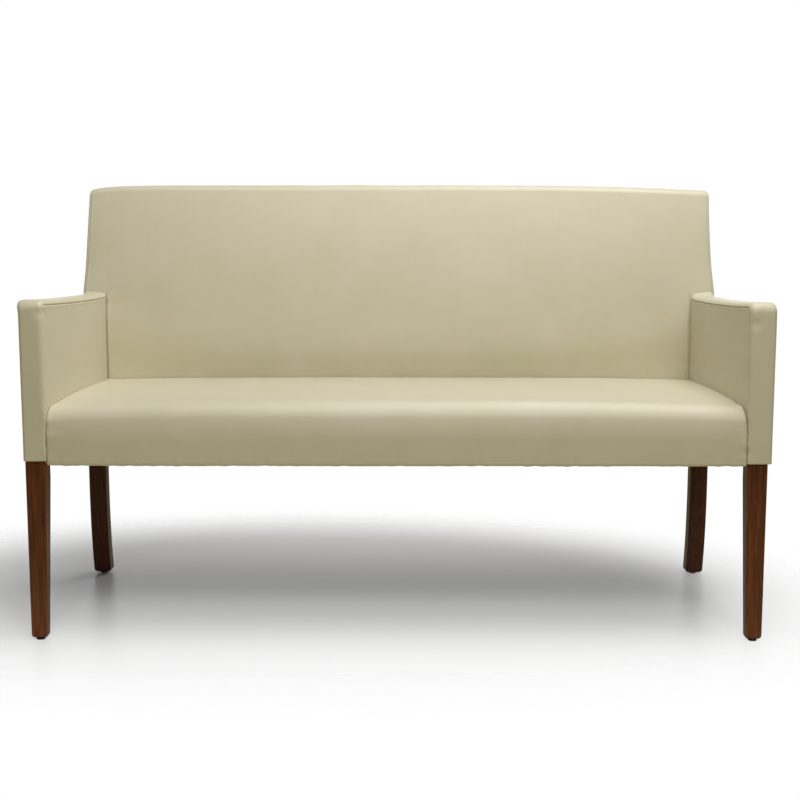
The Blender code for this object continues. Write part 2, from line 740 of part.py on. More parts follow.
def build_seat_rails(legs):
    """The front, rear and cross rails of the seat."""
    for name, front, rear, pair in (
            ("front", FRONT_RAIL_FRONT, FRONT_RAIL_REAR, legs["front"]),
            ("rear", REAR_RAIL_FRONT, REAR_RAIL_REAR, legs["rear"])):
        low = (-LEG_INNER + FIT, front, RAIL_BOTTOM)
        high = (LEG_INNER - FIT, rear, RAIL_TOP)
        rail = add_piece(f"seat_{name}_rail", tenoned(low, high, 0), BEECH)
        for leg, end in zip(pair, (-1, 1)):
            cut(leg, mortise(f"{name} rail mortise {end}", low, high, 0, end))
        low = (-RAIL_THICKNESS / 2, FRONT_RAIL_REAR + FIT, RAIL_BOTTOM)
        high = (RAIL_THICKNESS / 2, REAR_RAIL_FRONT - FIT, RAIL_BOTTOM + CROSS_RAIL_HEIGHT)
        end = -1 if name == "front" else 1
        cut(rail, mortise(f"cross rail {name} mortise", low, high, 1, end))
    add_piece("seat_cross_rail", tenoned(low, high, 1), BEECH)


def build_back_rails(posts):
    """The rails and stile of the back frame, in line with the rear of the posts."""
    rails = {}
    for name, start, end in (("lower", BACK_LOWER_RAIL_START, BACK_LOWER_RAIL_END),
                             ("top", BACK_TOP_RAIL_START, BACK_TOP_RAIL_END)):
        low = (-LEG_INNER + FIT, BACK_FRAME_FRONT, start)
        high = (LEG_INNER - FIT, -FIT, end)
        rails[name] = add_piece(f"back_{name}_rail", tenoned(low, high, 0), BEECH,
                                parent=BACK_FRAME)
        for post, at in zip(posts, (-1, 1)):
            cut(post, mortise(f"back {name} mortise {at}", low, high, 0, at, BACK_FRAME))
    low = (-STILE_WIDTH / 2, BACK_FRAME_FRONT, BACK_LOWER_RAIL_END + FIT)
    high = (STILE_WIDTH / 2, -FIT, BACK_TOP_RAIL_START - FIT)
    add_piece("back_stile", tenoned(low, high, 2), BEECH, parent=BACK_FRAME)
    cut(rails["lower"], mortise("stile lower mortise", low, high, 2, -1, BACK_FRAME))
    cut(rails["top"], mortise("stile top mortise", low, high, 2, 1, BACK_FRAME))


def build_frame():
    """The legs, rails, blocks and panels."""
    legs = {"front": [], "rear": []}
    for name, side in (("left", -1), ("right", 1)):
        front_leg = build_front_leg(name, side)
        rear_leg = build_rear_leg(name, side)
        build_side_rail(name, side, front_leg, rear_leg)
        build_arm_rail(name, side, front_leg, rear_leg)
        build_corner_block(name, side, True)
        build_corner_block(name, side, False)
        build_arm_panels(name, side)
        legs["front"].append(front_leg)
        legs["rear"].append(rear_leg)
    build_seat_rails(legs)
    build_back_rails(legs["rear"])
    low = (-LEG_OUTER, FIT, (BACK_TUCK_RISE + RAIL_TOP - POST_REAR_BEND) * RAKE_SECANT)
    high = (LEG_OUTER, FIT + HARDBOARD, BACK_TOP_RAIL_END)
    add_piece("outside_back_panel", box(low, high), BROWN_BOARD, parent=BACK_FRAME)


def build_seat_straps():
    """Straps from the front rail to the rear rail, and longer ones woven through them."""
    span = SIDE_RAIL_INNER + SIDE_RAIL_INNER
    pitch = span / SEAT_STRAP_COUNT
    middles = [pitch * (i - (SEAT_STRAP_COUNT - 1) / 2) for i in range(SEAT_STRAP_COUNT)]
    front = FRONT_RAIL_FRONT + STRAP_END_INSET
    rear = REAR_RAIL_REAR - STRAP_END_INSET
    for number, middle in enumerate(middles, 1):
        low = (middle - STRAP_WIDTH / 2, front, STRAP_LEVEL)
        high = (middle + STRAP_WIDTH / 2, rear, STRAP_LEVEL + STRAP_THICKNESS)
        add_piece(f"seat_strap_{number:02d}", box(low, high), WEBBING)
    half_span = SIDE_RAIL_OUTER - STRAP_END_INSET
    flat_from = SIDE_RAIL_INNER - STRAP_END_INSET
    reach = STRAP_WIDTH / 2 + STRAP_END_INSET
    edges = [-flat_from] + [x + step for x in middles for step in (-reach, reach)] + [flat_from]
    cut_shares = [(x + half_span) / (half_span + half_span) for x in edges]
    depth_pitch = (REAR_RAIL_FRONT - FRONT_RAIL_REAR) / CROSS_STRAP_COUNT
    for number in range(CROSS_STRAP_COUNT):
        middle = FRONT_RAIL_REAR + depth_pitch * (number + 1 / 2)
        bm = unit_block(cut_shares)
        for vertex in bm.verts:
            share = vertex.co.copy()
            x = half_span * (share.x + share.x - 1)
            nearest = min(range(SEAT_STRAP_COUNT), key=lambda i: abs(middles[i] - x))
            over = (nearest + number) % 2 == 0
            rise = STRAP_THICKNESS + FIT if over else -STRAP_THICKNESS - FIT
            if abs(x) > flat_from - MERGE:
                rise = 0.0
            y = middle + STRAP_WIDTH * (share.y - CENTRE_SHARES.y)
            vertex.co = (x, y, STRAP_LEVEL + rise + STRAP_THICKNESS * share.z)
        add_piece(f"seat_cross_strap_{number + 1}", bm, WEBBING)


def build_back_straps():
    """Upright straps across the front of the back rails."""
    bay = LEG_INNER - STILE_WIDTH / 2
    pitch = bay / (BACK_STRAPS_PER_BAY + 1)
    number = 0
    for side in (-1, 1):
        for place in range(BACK_STRAPS_PER_BAY):
            number += 1
            middle = side * (STILE_WIDTH / 2 + pitch * (place + 1))
            low = (middle - STRAP_WIDTH / 2, BACK_STRAP_FRONT,
                   BACK_LOWER_RAIL_START + STRAP_END_INSET)
            high = (middle + STRAP_WIDTH / 2, BACK_FRAME_FRONT - FIT,
                    BACK_TOP_RAIL_END - STRAP_END_INSET)
            add_piece(f"back_strap_{number}", box(low, high), WEBBING, parent=BACK_FRAME)


def build_seat():
    """The seat's foam over its webbing, and the leather cover drawn over it."""
    foam = add_piece("seat_foam", seat_body(LEATHER + FOAM_FIT), FOAM, smooth=True)
    low = (-HALF_WIDTH, FRONT_RAIL_FRONT - FIT, SEAT_BOTTOM - OVERRUN)
    high = (HALF_WIDTH, OVERALL_DEPTH, FOAM_BOTTOM)
    cut(foam, add_cutter("seat frame space", box(low, high)))
    bm = seat_body(0.0)
    split_level(bm, TUCK_TOP)
    hem = Vector((0.0, SEAT_HEM_WIDTH, 0.0))
    geometry = bm.verts[:] + bm.edges[:] + bm.faces[:]
    bmesh.ops.bisect_plane(bm, geom=geometry, plane_co=hem, plane_no=(0.0, 1.0, 0.0))
    drop_faces(bm, lambda n, c: faces_down(n) and c.y > SEAT_HEM_WIDTH and c.z < TUCK_TOP)
    drop_faces(bm, lambda n, c: (faces_side(n) or faces_back(n)) and c.z < TUCK_TOP and
               c.y > SEAT_HEM_RADIUS)
    thicken(add_piece("seat_cover", bm, CREAM_LEATHER, smooth=True), LEATHER)


def build_arms():
    """Foam and leather on both arms."""
    for name, side in (("left", -1), ("right", 1)):
        inner_low, inner_high = side_box(side, ARM_INNER - OVERRUN, LEG_INNER - FIT,
                                         FRONT_LEG_FRONT - FIT, OVERALL_DEPTH,
                                         SEAT_BOTTOM - OVERRUN, TUCK_TOP)
        low, high = side_box(side, LEG_INNER - FIT, LEG_OUTER + FIT, FRONT_LEG_FRONT - FIT,
                             OVERALL_DEPTH, SEAT_BOTTOM - OVERRUN, ARM_POST_TOP + FIT)
        foam = add_piece(f"arm_foam_{name}", arm_body(side, LEATHER + FOAM_FIT), FOAM, smooth=True)
        cut(foam, add_cutter(f"arm frame space {name}", box(low, high)))
        cut(foam, add_cutter(f"arm lower inside {name}", box(inner_low, inner_high)))
        bm = arm_body(side, 0.0)
        split_level(bm, TUCK_TOP)
        drop_faces(bm, lambda n, c: faces_down(n) or faces_back(n))
        drop_faces(bm, lambda n, c: n.x * side < -SIDE_FACING_SHARE and c.z < TUCK_TOP)
        thicken(add_piece(f"arm_cover_{name}", bm, CREAM_LEATHER, smooth=True), LEATHER)


def build_back():
    """Foam over the back frame, the inside cover round it and the flat outside cover."""
    clear = LEG_OUTER + FIT
    low = (-clear, 0.0, COVER_BOTTOM - OVERRUN)
    high = (clear, OVERALL_DEPTH, BACK_FOOT)
    under = add_cutter("space under the back panel", box(low, high))
    zones = []
    for name, side in (("left", -1), ("right", 1)):
        low, high = side_box(side, ARM_INNER, clear, 0.0, OVERALL_DEPTH,
                             COVER_BOTTOM - OVERRUN, ARM_POST_TOP + FIT)
        zones.append(add_cutter(f"space behind arm {name}", box(low, high)))
    foam = add_piece("back_foam", back_body(LEATHER + FOAM_FIT), FOAM, smooth=True)
    low = (-clear, BACK_STRAP_FRONT - FIT, 0.0)
    high = (clear, OVERALL_DEPTH, (BACK_POST_TOP + FIT - POST_REAR_BEND) * RAKE_SECANT)
    cut(foam, under, *zones, add_cutter("back frame space", box(low, high), BACK_FRAME))
    for name, side in (("left", -1), ("right", 1)):
        bm = side_outline_block(post_outline(FIT), side * (LEG_INNER - FIT), side * clear)
        cut(foam, add_cutter(f"post space {name}", bm))
    bm = back_body(0.0)
    drop_faces(bm, lambda n, c: faces_down(n) or faces_back(n))
    inside = add_piece("inside_back_cover", bm, CREAM_LEATHER, smooth=True)
    thicken(inside, LEATHER)
    cut(inside, under, *zones)
    bm = back_body(0.0)
    drop_faces(bm, lambda n, c: not faces_back(n))
    bmesh.ops.translate(bm, verts=bm.verts, vec=(0.0, FIT * RAKE_SECANT, 0.0))
    outside = add_piece("outside_back_cover", bm, CREAM_LEATHER, smooth=True)
    thicken(outside, LEATHER, 1.0)


def build_dust_cover():
    """Black cloth under the seat, notched round the legs."""
    half = SIDE_RAIL_OUTER
    front, rear = FRONT_RAIL_FRONT, REAR_RAIL_REAR
    notch = LEG_INNER - FIT
    front_notch = FRONT_LEG_REAR + FIT
    rear_notch = REAR_LEG_FRONT - FIT
    right = ((notch, front), (notch, front_notch), (half, front_notch), (half, rear_notch),
             (notch, rear_notch), (notch, rear))
    left = [(-x, y) for x, y in right[::-1]]
    bm = plan_outline_block([*right, *left], DUST_BOTTOM, DUST_BOTTOM + CAMBRIC)
    add_piece("dust_cover", bm, BLACK_CAMBRIC)


clear_scene()
PARTS = new_collection("loveseat")
CUTTERS = new_collection("cutters")

WALNUT = finish("walnut_stained_wood", "4C2A16", 0.42)
BEECH = finish("beech", "C9A77C", 0.65)
BROWN_BOARD = finish("hardboard", "6B4A30", 0.75)
CREAM_LEATHER = finish("cream_leather", "D2CDB0", 0.48)
FOAM = finish("upholstery_foam", "E6DFC0", 0.95)
WEBBING = finish("elastic_webbing", "2E2A26", 0.85)
BLACK_CAMBRIC = finish("black_cambric", "1B1B1C", 0.95)
GLIDE_PLASTIC = finish("glide_plastic", "141414", 0.50)

FLOOR_FRONT = add_empty("floor_at_front", (0.0, -OVERALL_DEPTH / 2, 0.0))
BACK_FRAME = add_empty("back_frame", (0.0, REAR_LEG_REAR, POST_REAR_BEND),
                       (-POST_REAR_RAKE, 0.0, 0.0), FLOOR_FRONT)

build_frame()
build_seat_straps()
build_back_straps()
build_seat()
build_arms()
build_back()
build_dust_cover()
bpy.context.view_layer.update()
print(f"overall depth {OVERALL_DEPTH:.4f}, least gap between pieces {FIT:.4f}")
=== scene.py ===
"""Looks of the two-seat loveseat: leather covers, foam, stained wood and a plain studio.

The frame gives every size that the construction holds. What stays here is the shape of the
soft covers between those sizes, and how each surface is finished.
"""

import math

import bmesh
import bpy
from mathutils import Matrix, Vector, noise
from mathutils.bvhtree import BVHTree


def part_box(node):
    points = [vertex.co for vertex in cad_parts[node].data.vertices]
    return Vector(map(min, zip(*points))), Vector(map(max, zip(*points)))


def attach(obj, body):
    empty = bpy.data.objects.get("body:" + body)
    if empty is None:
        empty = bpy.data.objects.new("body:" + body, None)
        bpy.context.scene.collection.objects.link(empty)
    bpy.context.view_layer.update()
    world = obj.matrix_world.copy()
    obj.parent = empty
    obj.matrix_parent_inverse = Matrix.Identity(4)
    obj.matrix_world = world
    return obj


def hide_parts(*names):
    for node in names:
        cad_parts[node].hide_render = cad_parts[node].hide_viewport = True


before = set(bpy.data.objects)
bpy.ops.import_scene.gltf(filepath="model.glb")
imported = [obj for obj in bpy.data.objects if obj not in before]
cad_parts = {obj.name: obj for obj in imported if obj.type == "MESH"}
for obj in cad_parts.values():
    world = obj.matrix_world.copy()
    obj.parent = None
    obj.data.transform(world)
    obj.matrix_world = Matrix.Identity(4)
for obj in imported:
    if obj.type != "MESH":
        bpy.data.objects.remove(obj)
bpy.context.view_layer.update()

bl_info = {
    "name": "Loveseat dressing",
    "version": (1, 0, 0),
    "blender": (4, 5, 0),
    "location": "View3D > Sidebar > Loveseat",
    "description": "Leather, foam, wood and studio for a two-seat loveseat",
    "category": "Object",
}

MM = 0.001
BODY = "root"
SIDES = (("left", -1), ("right", 1))

# Sizes read from the frame
ARM_LOW, ARM_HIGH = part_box("arm_cover_right")
FRONT = ARM_LOW.y
HALF_WIDTH = ARM_HIGH.x
WIDTH = 2 * HALF_WIDTH
ARM_INNER = ARM_LOW.x
COVER_BOTTOM = ARM_LOW.z
SEAT_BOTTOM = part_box("seat_cover")[0].z
BACK_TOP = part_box("inside_back_cover")[1].z
REAR_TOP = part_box("outside_back_cover")[1].z
REAR_LEG_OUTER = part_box("rear_leg_right")[1].x

# The leather's thickness, the room between pieces that touch, and what counts as on a line
LEATHER = 1.2 * MM
CLEAR = 0.3 * MM
ON_EDGE = 0.1 * MM
ON_SEAM = 0.3 * MM

# The cells that a cover is cut into: on its faces, on the arms' strips, at its rolls, at its
# edges, and on the seat's broad front roll
CELL = 5.5 * MM
STRIP_CELL = 4 * MM
FINE_CELL = 2.5 * MM
EDGE_CELL = 1.5 * MM
ROLL_CELL = 3.85 * MM

# A face looks along an axis when its normal has more than this share along it
FACING_SHARE = 0.5

# How the foam presses a cover out: the cloth's settings and frames, the rounds that smooth
# its folds, the foam's hold on a free point, and the most that each cover moves
CLOTH = {
    "quality": 6, "mass": 0.4, "tension_stiffness": 40.0, "compression_stiffness": 40.0,
    "shear_stiffness": 15.0, "bending_stiffness": 6.0, "use_pressure": True,
}
CLOTH_FRAMES = 20
FOLD_SMOOTHING = 25
FOLD_SMOOTHING_SHARE = 0.5
FOAM_HOLD_SHARE = 0.2
SEAT_PRESSED = 3 * MM
ARM_PRESSED = 1.5 * MM
BACK_PRESSED = 3 * MM

# Ripples all over the leather, and puckers that die out away from a seam
RIPPLES_PER_METRE = 9.0
PUCKERS_PER_METRE = 65.0
PUCKER_TURNS_PER_METRE = 8.0
PUCKER_REACH = 12 * MM

# The place in the noise where each set of folds is read, so that no two are alike
SEEDS = {
    "seat ends": 3.0, "seat rear": 9.0, "seat hem": 12.0, "seat ripple": 20.0,
    "arm seam": 30.0, "arm rear": 33.0, "arm hem": 36.0, "arm at seat": 39.0,
    "arm ripple": 40.0, "back at right arm": 50.0, "back at left arm": 52.0,
    "back at seat": 55.0, "back ripple": 60.0,
}

# Foam: the longest edge of its cells, the most halvings that lead to it, and how far off its
# cover is looked for
FOAM_CELL = 12 * MM
FOAM_CUTS = 8
FOAM_REACH = 30 * MM
FOAM_WELD = 0.01 * MM
FOAM_SHARP = math.radians(30)

# The cover that lies over each block of foam, and the room that its grooves take between them
COVERED_BY = {
    "seat_foam": ("seat_leather", 2.5 * MM),
    "back_foam": ("inside_back_leather", 6 * MM),
    "arm_foam_left": ("arm_leather_left", 1 * MM),
    "arm_foam_right": ("arm_leather_right", 1 * MM),
}

# A sewn seam: a groove between two low ridges, and the cell lines that draw it
SEAM_DEPTH = 1.9 * MM
SEAM_WIDTH = 0.9 * MM
SEAM_RIDGE = 0.5 * MM
SEAM_RIDGE_PLACE = 3.0 * MM
SEAM_RIDGE_WIDTH = 1.6 * MM
SEAM_REACH = 6.0 * MM
SEAM_LINES = [step * MM for step in (-4.2, -2.8, -1.6, -0.7, 0.0, 0.7, 1.6, 2.8, 4.2)]

# Where two covers meet, each turns into the gap behind a soft ridge
GAP_DEPTH = 4.5 * MM
GAP_WIDTH = 1.6 * MM
GAP_RIDGE = 1.4 * MM
GAP_RIDGE_PLACE = 4.2 * MM
GAP_RIDGE_WIDTH = 2.2 * MM

# Seat cover, and where its finer cells towards the back start
SEAT_DEPTH = 496 * MM
REAR_BAND = SEAT_DEPTH - 2 * GAP_RIDGE_PLACE
SEAT_EDGE_TOP = 461 * MM
SEAT_CROWN = 12 * MM
SEAT_SIDE_CROWN = 6 * MM
SEAT_CROWN_POWER = 4
SEAT_CROWN_PLACE_SHARE = 0.24
SEAT_CROWN_LOSS_SHARE = 0.53
SEAT_ROLL = 26 * MM
SEAT_FRONT_LEAN = 12 * MM
SEAT_LEAN_START = 398 * MM
SEAT_EDGE_ROLL = 3 * MM
SEAT_SLIT = 1.0 * MM
SEAT_SLIT_RUN = 1.5 * MM
SEAT_HEM_ROLL = 4.5 * MM
SEAT_HEM_WIDTH = 22 * MM
SEAT_TUCK = 26 * MM
SEAT_FRONT_DRAW = 2 * MM
SEAT_DRAW_POWER = 6
SEAT_LEAN_POWER = 4
SEAT_HEM_DROP = 1.5 * MM
SEAT_SPREAD = {"left": 1.5 * MM, "right": 3.0 * MM}
SEAT_SPREAD_RUN = 40 * MM
SEAT_REAR_PUCKER_SHARE = 0.5
SEAT_HEM_PUCKER_SHARE = 0.6
SEAT_EDGE_FOLD_SHARE = 0.2

# Arm covers
ARM_TOP = 667 * MM
ARM_FALL = 10 * MM
ARM_CROWN = 2 * MM
ARM_CROWN_REACH = 30 * MM
ARM_ROLL = 20 * MM
ARM_EDGE_ROLL = 9 * MM
ARM_SEAT_ROLL = 3 * MM
ARM_DIMPLE_PLACE = {"left": (680 * MM, 646 * MM), "right": (686 * MM, 625 * MM)}
ARM_DIMPLE = 2.4 * MM
ARM_DIMPLE_WIDTH = 9 * MM
ARM_HEM_ROLL = 2 * MM
ARM_HEM_WIDTH = 10 * MM
ARM_HEM_RISE = {"left": 5 * MM, "right": 0.5 * MM}
ARM_LIFT = {"left": 5 * MM, "right": 9.5 * MM}
ARM_DROP = {"left": -2.2 * MM, "right": 2.4 * MM}
ARM_SAG = {"left": 2.7 * MM, "right": 3.6 * MM}
ARM_HOLLOW = {"left": 4.3 * MM, "right": 0.0}
ARM_HOLLOW_TOP = 22 * MM
ARM_LIFT_RUN = 14 * MM
ARM_LIFT_INNER_SHARE = 0.3
ARM_SEAM_FADE = 50 * MM
ARM_SEAM_FADE_RUN = 25 * MM
ARM_SEAM_LEAST_SHARE = 0.1
ARM_TUCK_LEVEL = 425 * MM
ARM_GAP_SHARE = 0.6
ARM_SEAM_PUCKER_SHARE = 0.5
ARM_REAR_PUCKER_SHARE = 0.5
ARM_HEM_PUCKER_SHARE = 0.4
ARM_RIPPLE_SHARE = 0.5

# Back covers
BACK_FOOT = 440 * MM
BACK_FOOT_HIDDEN = 15 * MM
BACK_LEAN = 85 * MM
BACK_CROWN = 6 * MM
BACK_CROWN_POWER = 4
BACK_TUCK = 16 * MM
BACK_TUCK_RUN = 50 * MM
BACK_CORNER_RUN = 55 * MM
BACK_CORNER_POWER = 8
BACK_CORNER_LOSS_SHARE = 0.2
BACK_SEAT_PUCKER_SHARE = 0.4
BACK_NARROWING = {"left": 5.5 * MM, "right": 3.0 * MM}
BACK_TOP_RISE = 3.7 * MM
BACK_END_DROP = {"left": 11 * MM, "right": 13 * MM}
BACK_END_POWER = {"left": 18, "right": 3}
BACK_SIDE_BULGE = {"left": 2 * MM, "right": 5 * MM}
BACK_CORNER_ROLL = {"left": 8 * MM, "right": 11 * MM}
BACK_ROLL = 13 * MM
BACK_SIDE_EASE = 5 * MM
BACK_EASE_POWER = 24
BACK_EASE_QUICKENING = 4
BACK_SEAM = 6 * MM
BACK_REAR_ROLL = 4 * MM
BACK_THICKNESS = 60 * MM
REAR_RAKE = math.radians(13)
REAR_BEND = 335 * MM
REAR_BEND_DEPTH = 520.8 * MM
REAR_THICKNESS = 3 * MM

# Settings that several nodes share
COLOURS = {"data_type": "RGBA"}
MULTIPLIED = {"data_type": "RGBA", "blend_type": "MULTIPLY"}
SMOOTH = {"interpolation_type": "SMOOTHSTEP"}

# The leather's name, and how satin and how matt it is
LEATHER_NAME = "embossed_polyurethane_leather"
LEATHER_SATIN = 0.38
LEATHER_MATT = 0.46

# Real sizes of the patterns in the materials
LEATHER_CLOUD = 111 * MM
LEATHER_CREASES_PER_GRAIN = 0.35
LEATHER_MOTTLE_SHARE = 0.35
WALNUT_ALONG_SHARE = 0.045
PORE_ALONG_SHARE = 0.03
PORES_PER_BAND = 5.0
BEECH_BAND = 6.25 * MM
BEECH_FLECK = 1.11 * MM
BEECH_ALONG_SHARE = 0.05
HARDBOARD_FIBRE = 2.38 * MM
FOAM_PORE = 1.11 * MM
WEBBING_RIB = 3.93 * MM
CAMBRIC_FIBRE = 1.43 * MM
GLIDE_SPARK = 0.83 * MM

# The wave texture repeats 20 times in tau units at a scale of one
WAVE_REPEAT = math.tau / 20

# What the walnut stain is multiplied by: painted floor bounce at the foot, painted shade under the
# covers, and painted shadow on the rear legs; and the places from front to rear between which that
# painted shadow comes in
PAINTED_BOUNCE_AT_FOOT = (1.25, 1.45, 1.9)
PAINTED_SHADE_UNDER_COVERS = (0.82, 0.8, 0.8)
PAINTED_SHADOW_ON_REAR_LEGS = (0.66, 0.75, 1.2)
PAINTED_SHADOW_REAR_START = -0.2
PAINTED_SHADOW_REAR_END = 0.2

# Studio: the width of the camera's sensor in millimetres, the light from each part of the
# room, and the parts of a direction along +Y and up between which the backdrop and the
# ceiling fade in
SENSOR_WIDTH = 36.0
SKY_BACKDROP = (1.2, 1.2, 1.2)
SKY_CEILING = (0.02, 0.02, 0.02)
SKY_FLOOR = (0.36, 0.32, 0.16)
BLACK = (0.0, 0.0, 0.0)
WHITE = (1.0, 1.0, 1.0)
BACKDROP_START = 0.2
BACKDROP_END = 0.65
CEILING_START = 0.30
CEILING_END = 0.55

# The floor: half its side, the oval past which it has faded into the white room, the share of
# the oval that is full, and the places from front to rear between which it fades in
FLOOR_REACH = 3.0
FLOOR_MIDDLE = (-0.2, 0.0, 0.0)
FLOOR_OVAL = (1.35, 0.92, 1.0)
FLOOR_TURN = (0.0, 0.0, math.radians(-3))
FLOOR_FULL_SHARE = 0.55
FLOOR_NEAR = -0.9
FLOOR_NEAR_END = 0.2
FLOOR_CLOUDS_PER_METRE = 3.0
FLOOR_CLOUD_SHARE = 0.97

# Each light's name, place, target, size and power
LIGHTS = (
    ("overhead", (0.4, -0.6, 3.4), (0.0, 0.0, 0.3), (2.4, 2.0), 61.0),
    ("front", (0.4, -3.2, 3.4), (0.0, 0.0, 0.4), (2.0, 1.2), 45.0),
    ("fill", (0.4, -3.6, 1.5), (0.0, 0.0, 0.5), (2.4, 1.4), 11.0),
    ("key", (2.4, -1.5, 3.0), (0.0, 0.0, 0.4), (0.5, 0.5), 3.0),
    ("rear", (0.8, 0.6, 3.0), (0.0, 0.0, 0.3), (2.4, 1.2), 22.0),
)


def linear(hex_colour):
    """Turn an sRGB hex colour into linear red, green and blue."""
    channels = [int(hex_colour[i:i + 2], 16) / 255 for i in (0, 2, 4)]
    return tuple(c / 12.92 if c <= 0.04045 else ((c + 0.055) / 1.055) ** 2.4 for c in channels)


def colour(name, description, hex_colour):
    """A colour that a user can change."""
    return bpy.props.FloatVectorProperty(name=name, description=description, subtype="COLOR",
                                         size=3, min=0.0, max=1.0, default=linear(hex_colour))


def length(name, description, metres):
    """A length that a user can change."""
    return bpy.props.FloatProperty(name=name, description=description, unit="LENGTH",
                                   subtype="DISTANCE", precision=4, default=metres)


class LOVESEAT_PG_leather(bpy.types.PropertyGroup):
    """Sizes and colours of the leather covers."""

    light: colour("Light leather", "Where the grain stands proud", "D6CEB5")
    deep: colour("Deep leather", "Where the grain lies deeper", "CFC9AD")
    grain: length("Grain", "Width of one pebble of the leather's grain", 1.6 * MM)
    pucker: length("Pucker", "How far the leather puckers beside a seam", 2.4 * MM)
    ripple: length("Ripple", "How far the leather lies off a true surface", 0.7 * MM)
    pressure: bpy.props.FloatProperty(name="Foam pressure", default=1.2, min=0.0,
                                      description="How hard the foam presses the covers out")


class LOVESEAT_PG_wood(bpy.types.PropertyGroup):
    """Colours of the woods."""

    stain: colour("Stain", "Walnut stain on the legs", "7A4423")
    stain_dark: colour("Dark stain", "Stain in the open grain", "522B13")
    grain_width: length("Grain width", "Width of one band of the grain", 4.0 * MM)


class LOVESEAT_PG_studio(bpy.types.PropertyGroup):
    """The stage, its lights and the camera."""

    floor: colour("Floor", "Pale floor", "F4F4F3")
    lens: bpy.props.FloatProperty(name="Lens", default=56.47, min=10.0,
                                  description="Focal length in millimetres")
    eye: bpy.props.FloatVectorProperty(name="Camera place", subtype="XYZ", unit="LENGTH",
                                       description="Where the camera stands",
                                       default=(0.0227, -2.7131, 0.7840))
    aim: bpy.props.FloatVectorProperty(name="Camera angles", subtype="EULER",
                                       description="How the camera is turned",
                                       default=(math.radians(82.719), 0.0, math.radians(0.353)))


def add_node(tree, kind, settings=None, **inputs):
    """Add a node with its settings, and set or link its inputs by name or number."""
    node = tree.nodes.new(kind)
    for name, value in (settings or {}).items():
        setattr(node, name, value)
    for name, value in inputs.items():
        socket = node.inputs[int(name[1:])] if name[0] == "_" else node.inputs[name.replace("_", " ")]
        if isinstance(value, bpy.types.NodeSocket):
            tree.links.new(value, socket)
        else:
            socket.default_value = value
    return node


def blank_material(name, roughness):
    """A material with its node tree, its shader and its object coordinates."""
    material = bpy.data.materials.new(name)
    material.use_nodes = True
    tree = material.node_tree
    shader = tree.nodes["Principled BSDF"]
    shader.inputs["Roughness"].default_value = roughness
    place = add_node(tree, "ShaderNodeTexCoord").outputs["Object"]
    return material, tree, shader, place


def rgba(colour_value):
    """A colour with its alpha."""
    return (*colour_value, 1.0)


def finish_surface(tree, shader, share, dark, light, relief, strength, depth):
    """Colour a surface by a share between two colours, and let a relief stand out of it."""
    tint = add_node(tree, "ShaderNodeMix", COLOURS, _0=share, _6=rgba(dark), _7=rgba(light))
    tree.links.new(tint.outputs[2], shader.inputs["Base Color"])
    bump = add_node(tree, "ShaderNodeBump", Height=relief, Strength=strength, Distance=depth)
    tree.links.new(bump.outputs[0], shader.inputs["Normal"])
    return tint, bump


def embossed_leather(looks):
    """Polyurethane leather, embossed with a pebble grain: satin, with soft broad highlights.

    The grain is drawn wider than a real one, so that it shows.
    """
    material, tree, shader, place = blank_material(LEATHER_NAME, LEATHER_SATIN)
    cloud = add_node(tree, "ShaderNodeTexNoise", Vector=place, Scale=1.0 / LEATHER_CLOUD,
                     Detail=3.0, Roughness=0.6)
    grain = add_node(tree, "ShaderNodeTexVoronoi", {"feature": "SMOOTH_F1"}, Vector=place,
                     Scale=1.0 / looks.grain, Smoothness=0.6)
    crease = add_node(tree, "ShaderNodeTexNoise", Vector=place,
                      Scale=LEATHER_CREASES_PER_GRAIN / looks.grain, Detail=5.0, Roughness=0.65)
    mottle = add_node(tree, "ShaderNodeMath", {"operation": "MULTIPLY_ADD"}, _0=crease.outputs[0],
                      _1=LEATHER_MOTTLE_SHARE, _2=cloud.outputs[0])
    tone = add_node(tree, "ShaderNodeMapRange", Value=mottle.outputs[0], From_Min=0.45,
                    From_Max=0.90)
    _, broad = finish_surface(tree, shader, tone.outputs[0], looks.deep, looks.light,
                              crease.outputs[0], strength=0.25, depth=0.5 * looks.grain)
    fine = add_node(tree, "ShaderNodeBump", Height=grain.outputs["Distance"], Strength=0.25,
                    Distance=0.25 * looks.grain)
    tree.links.new(fine.outputs[0], broad.inputs["Normal"])
    gloss = add_node(tree, "ShaderNodeMapRange", Value=crease.outputs[0], From_Min=0.3,
                     From_Max=0.7, To_Min=LEATHER_SATIN, To_Max=LEATHER_MATT)
    tree.links.new(gloss.outputs[0], shader.inputs["Roughness"])
    shader.inputs["IOR"].default_value = 1.5
    shader.inputs["Sheen Weight"].default_value = 0.1
    shader.inputs["Sheen Roughness"].default_value = 0.4
    return material


def shared_leather(looks):
    """The leather, made once for all the covers."""
    return bpy.data.materials.get(LEATHER_NAME) or embossed_leather(looks)


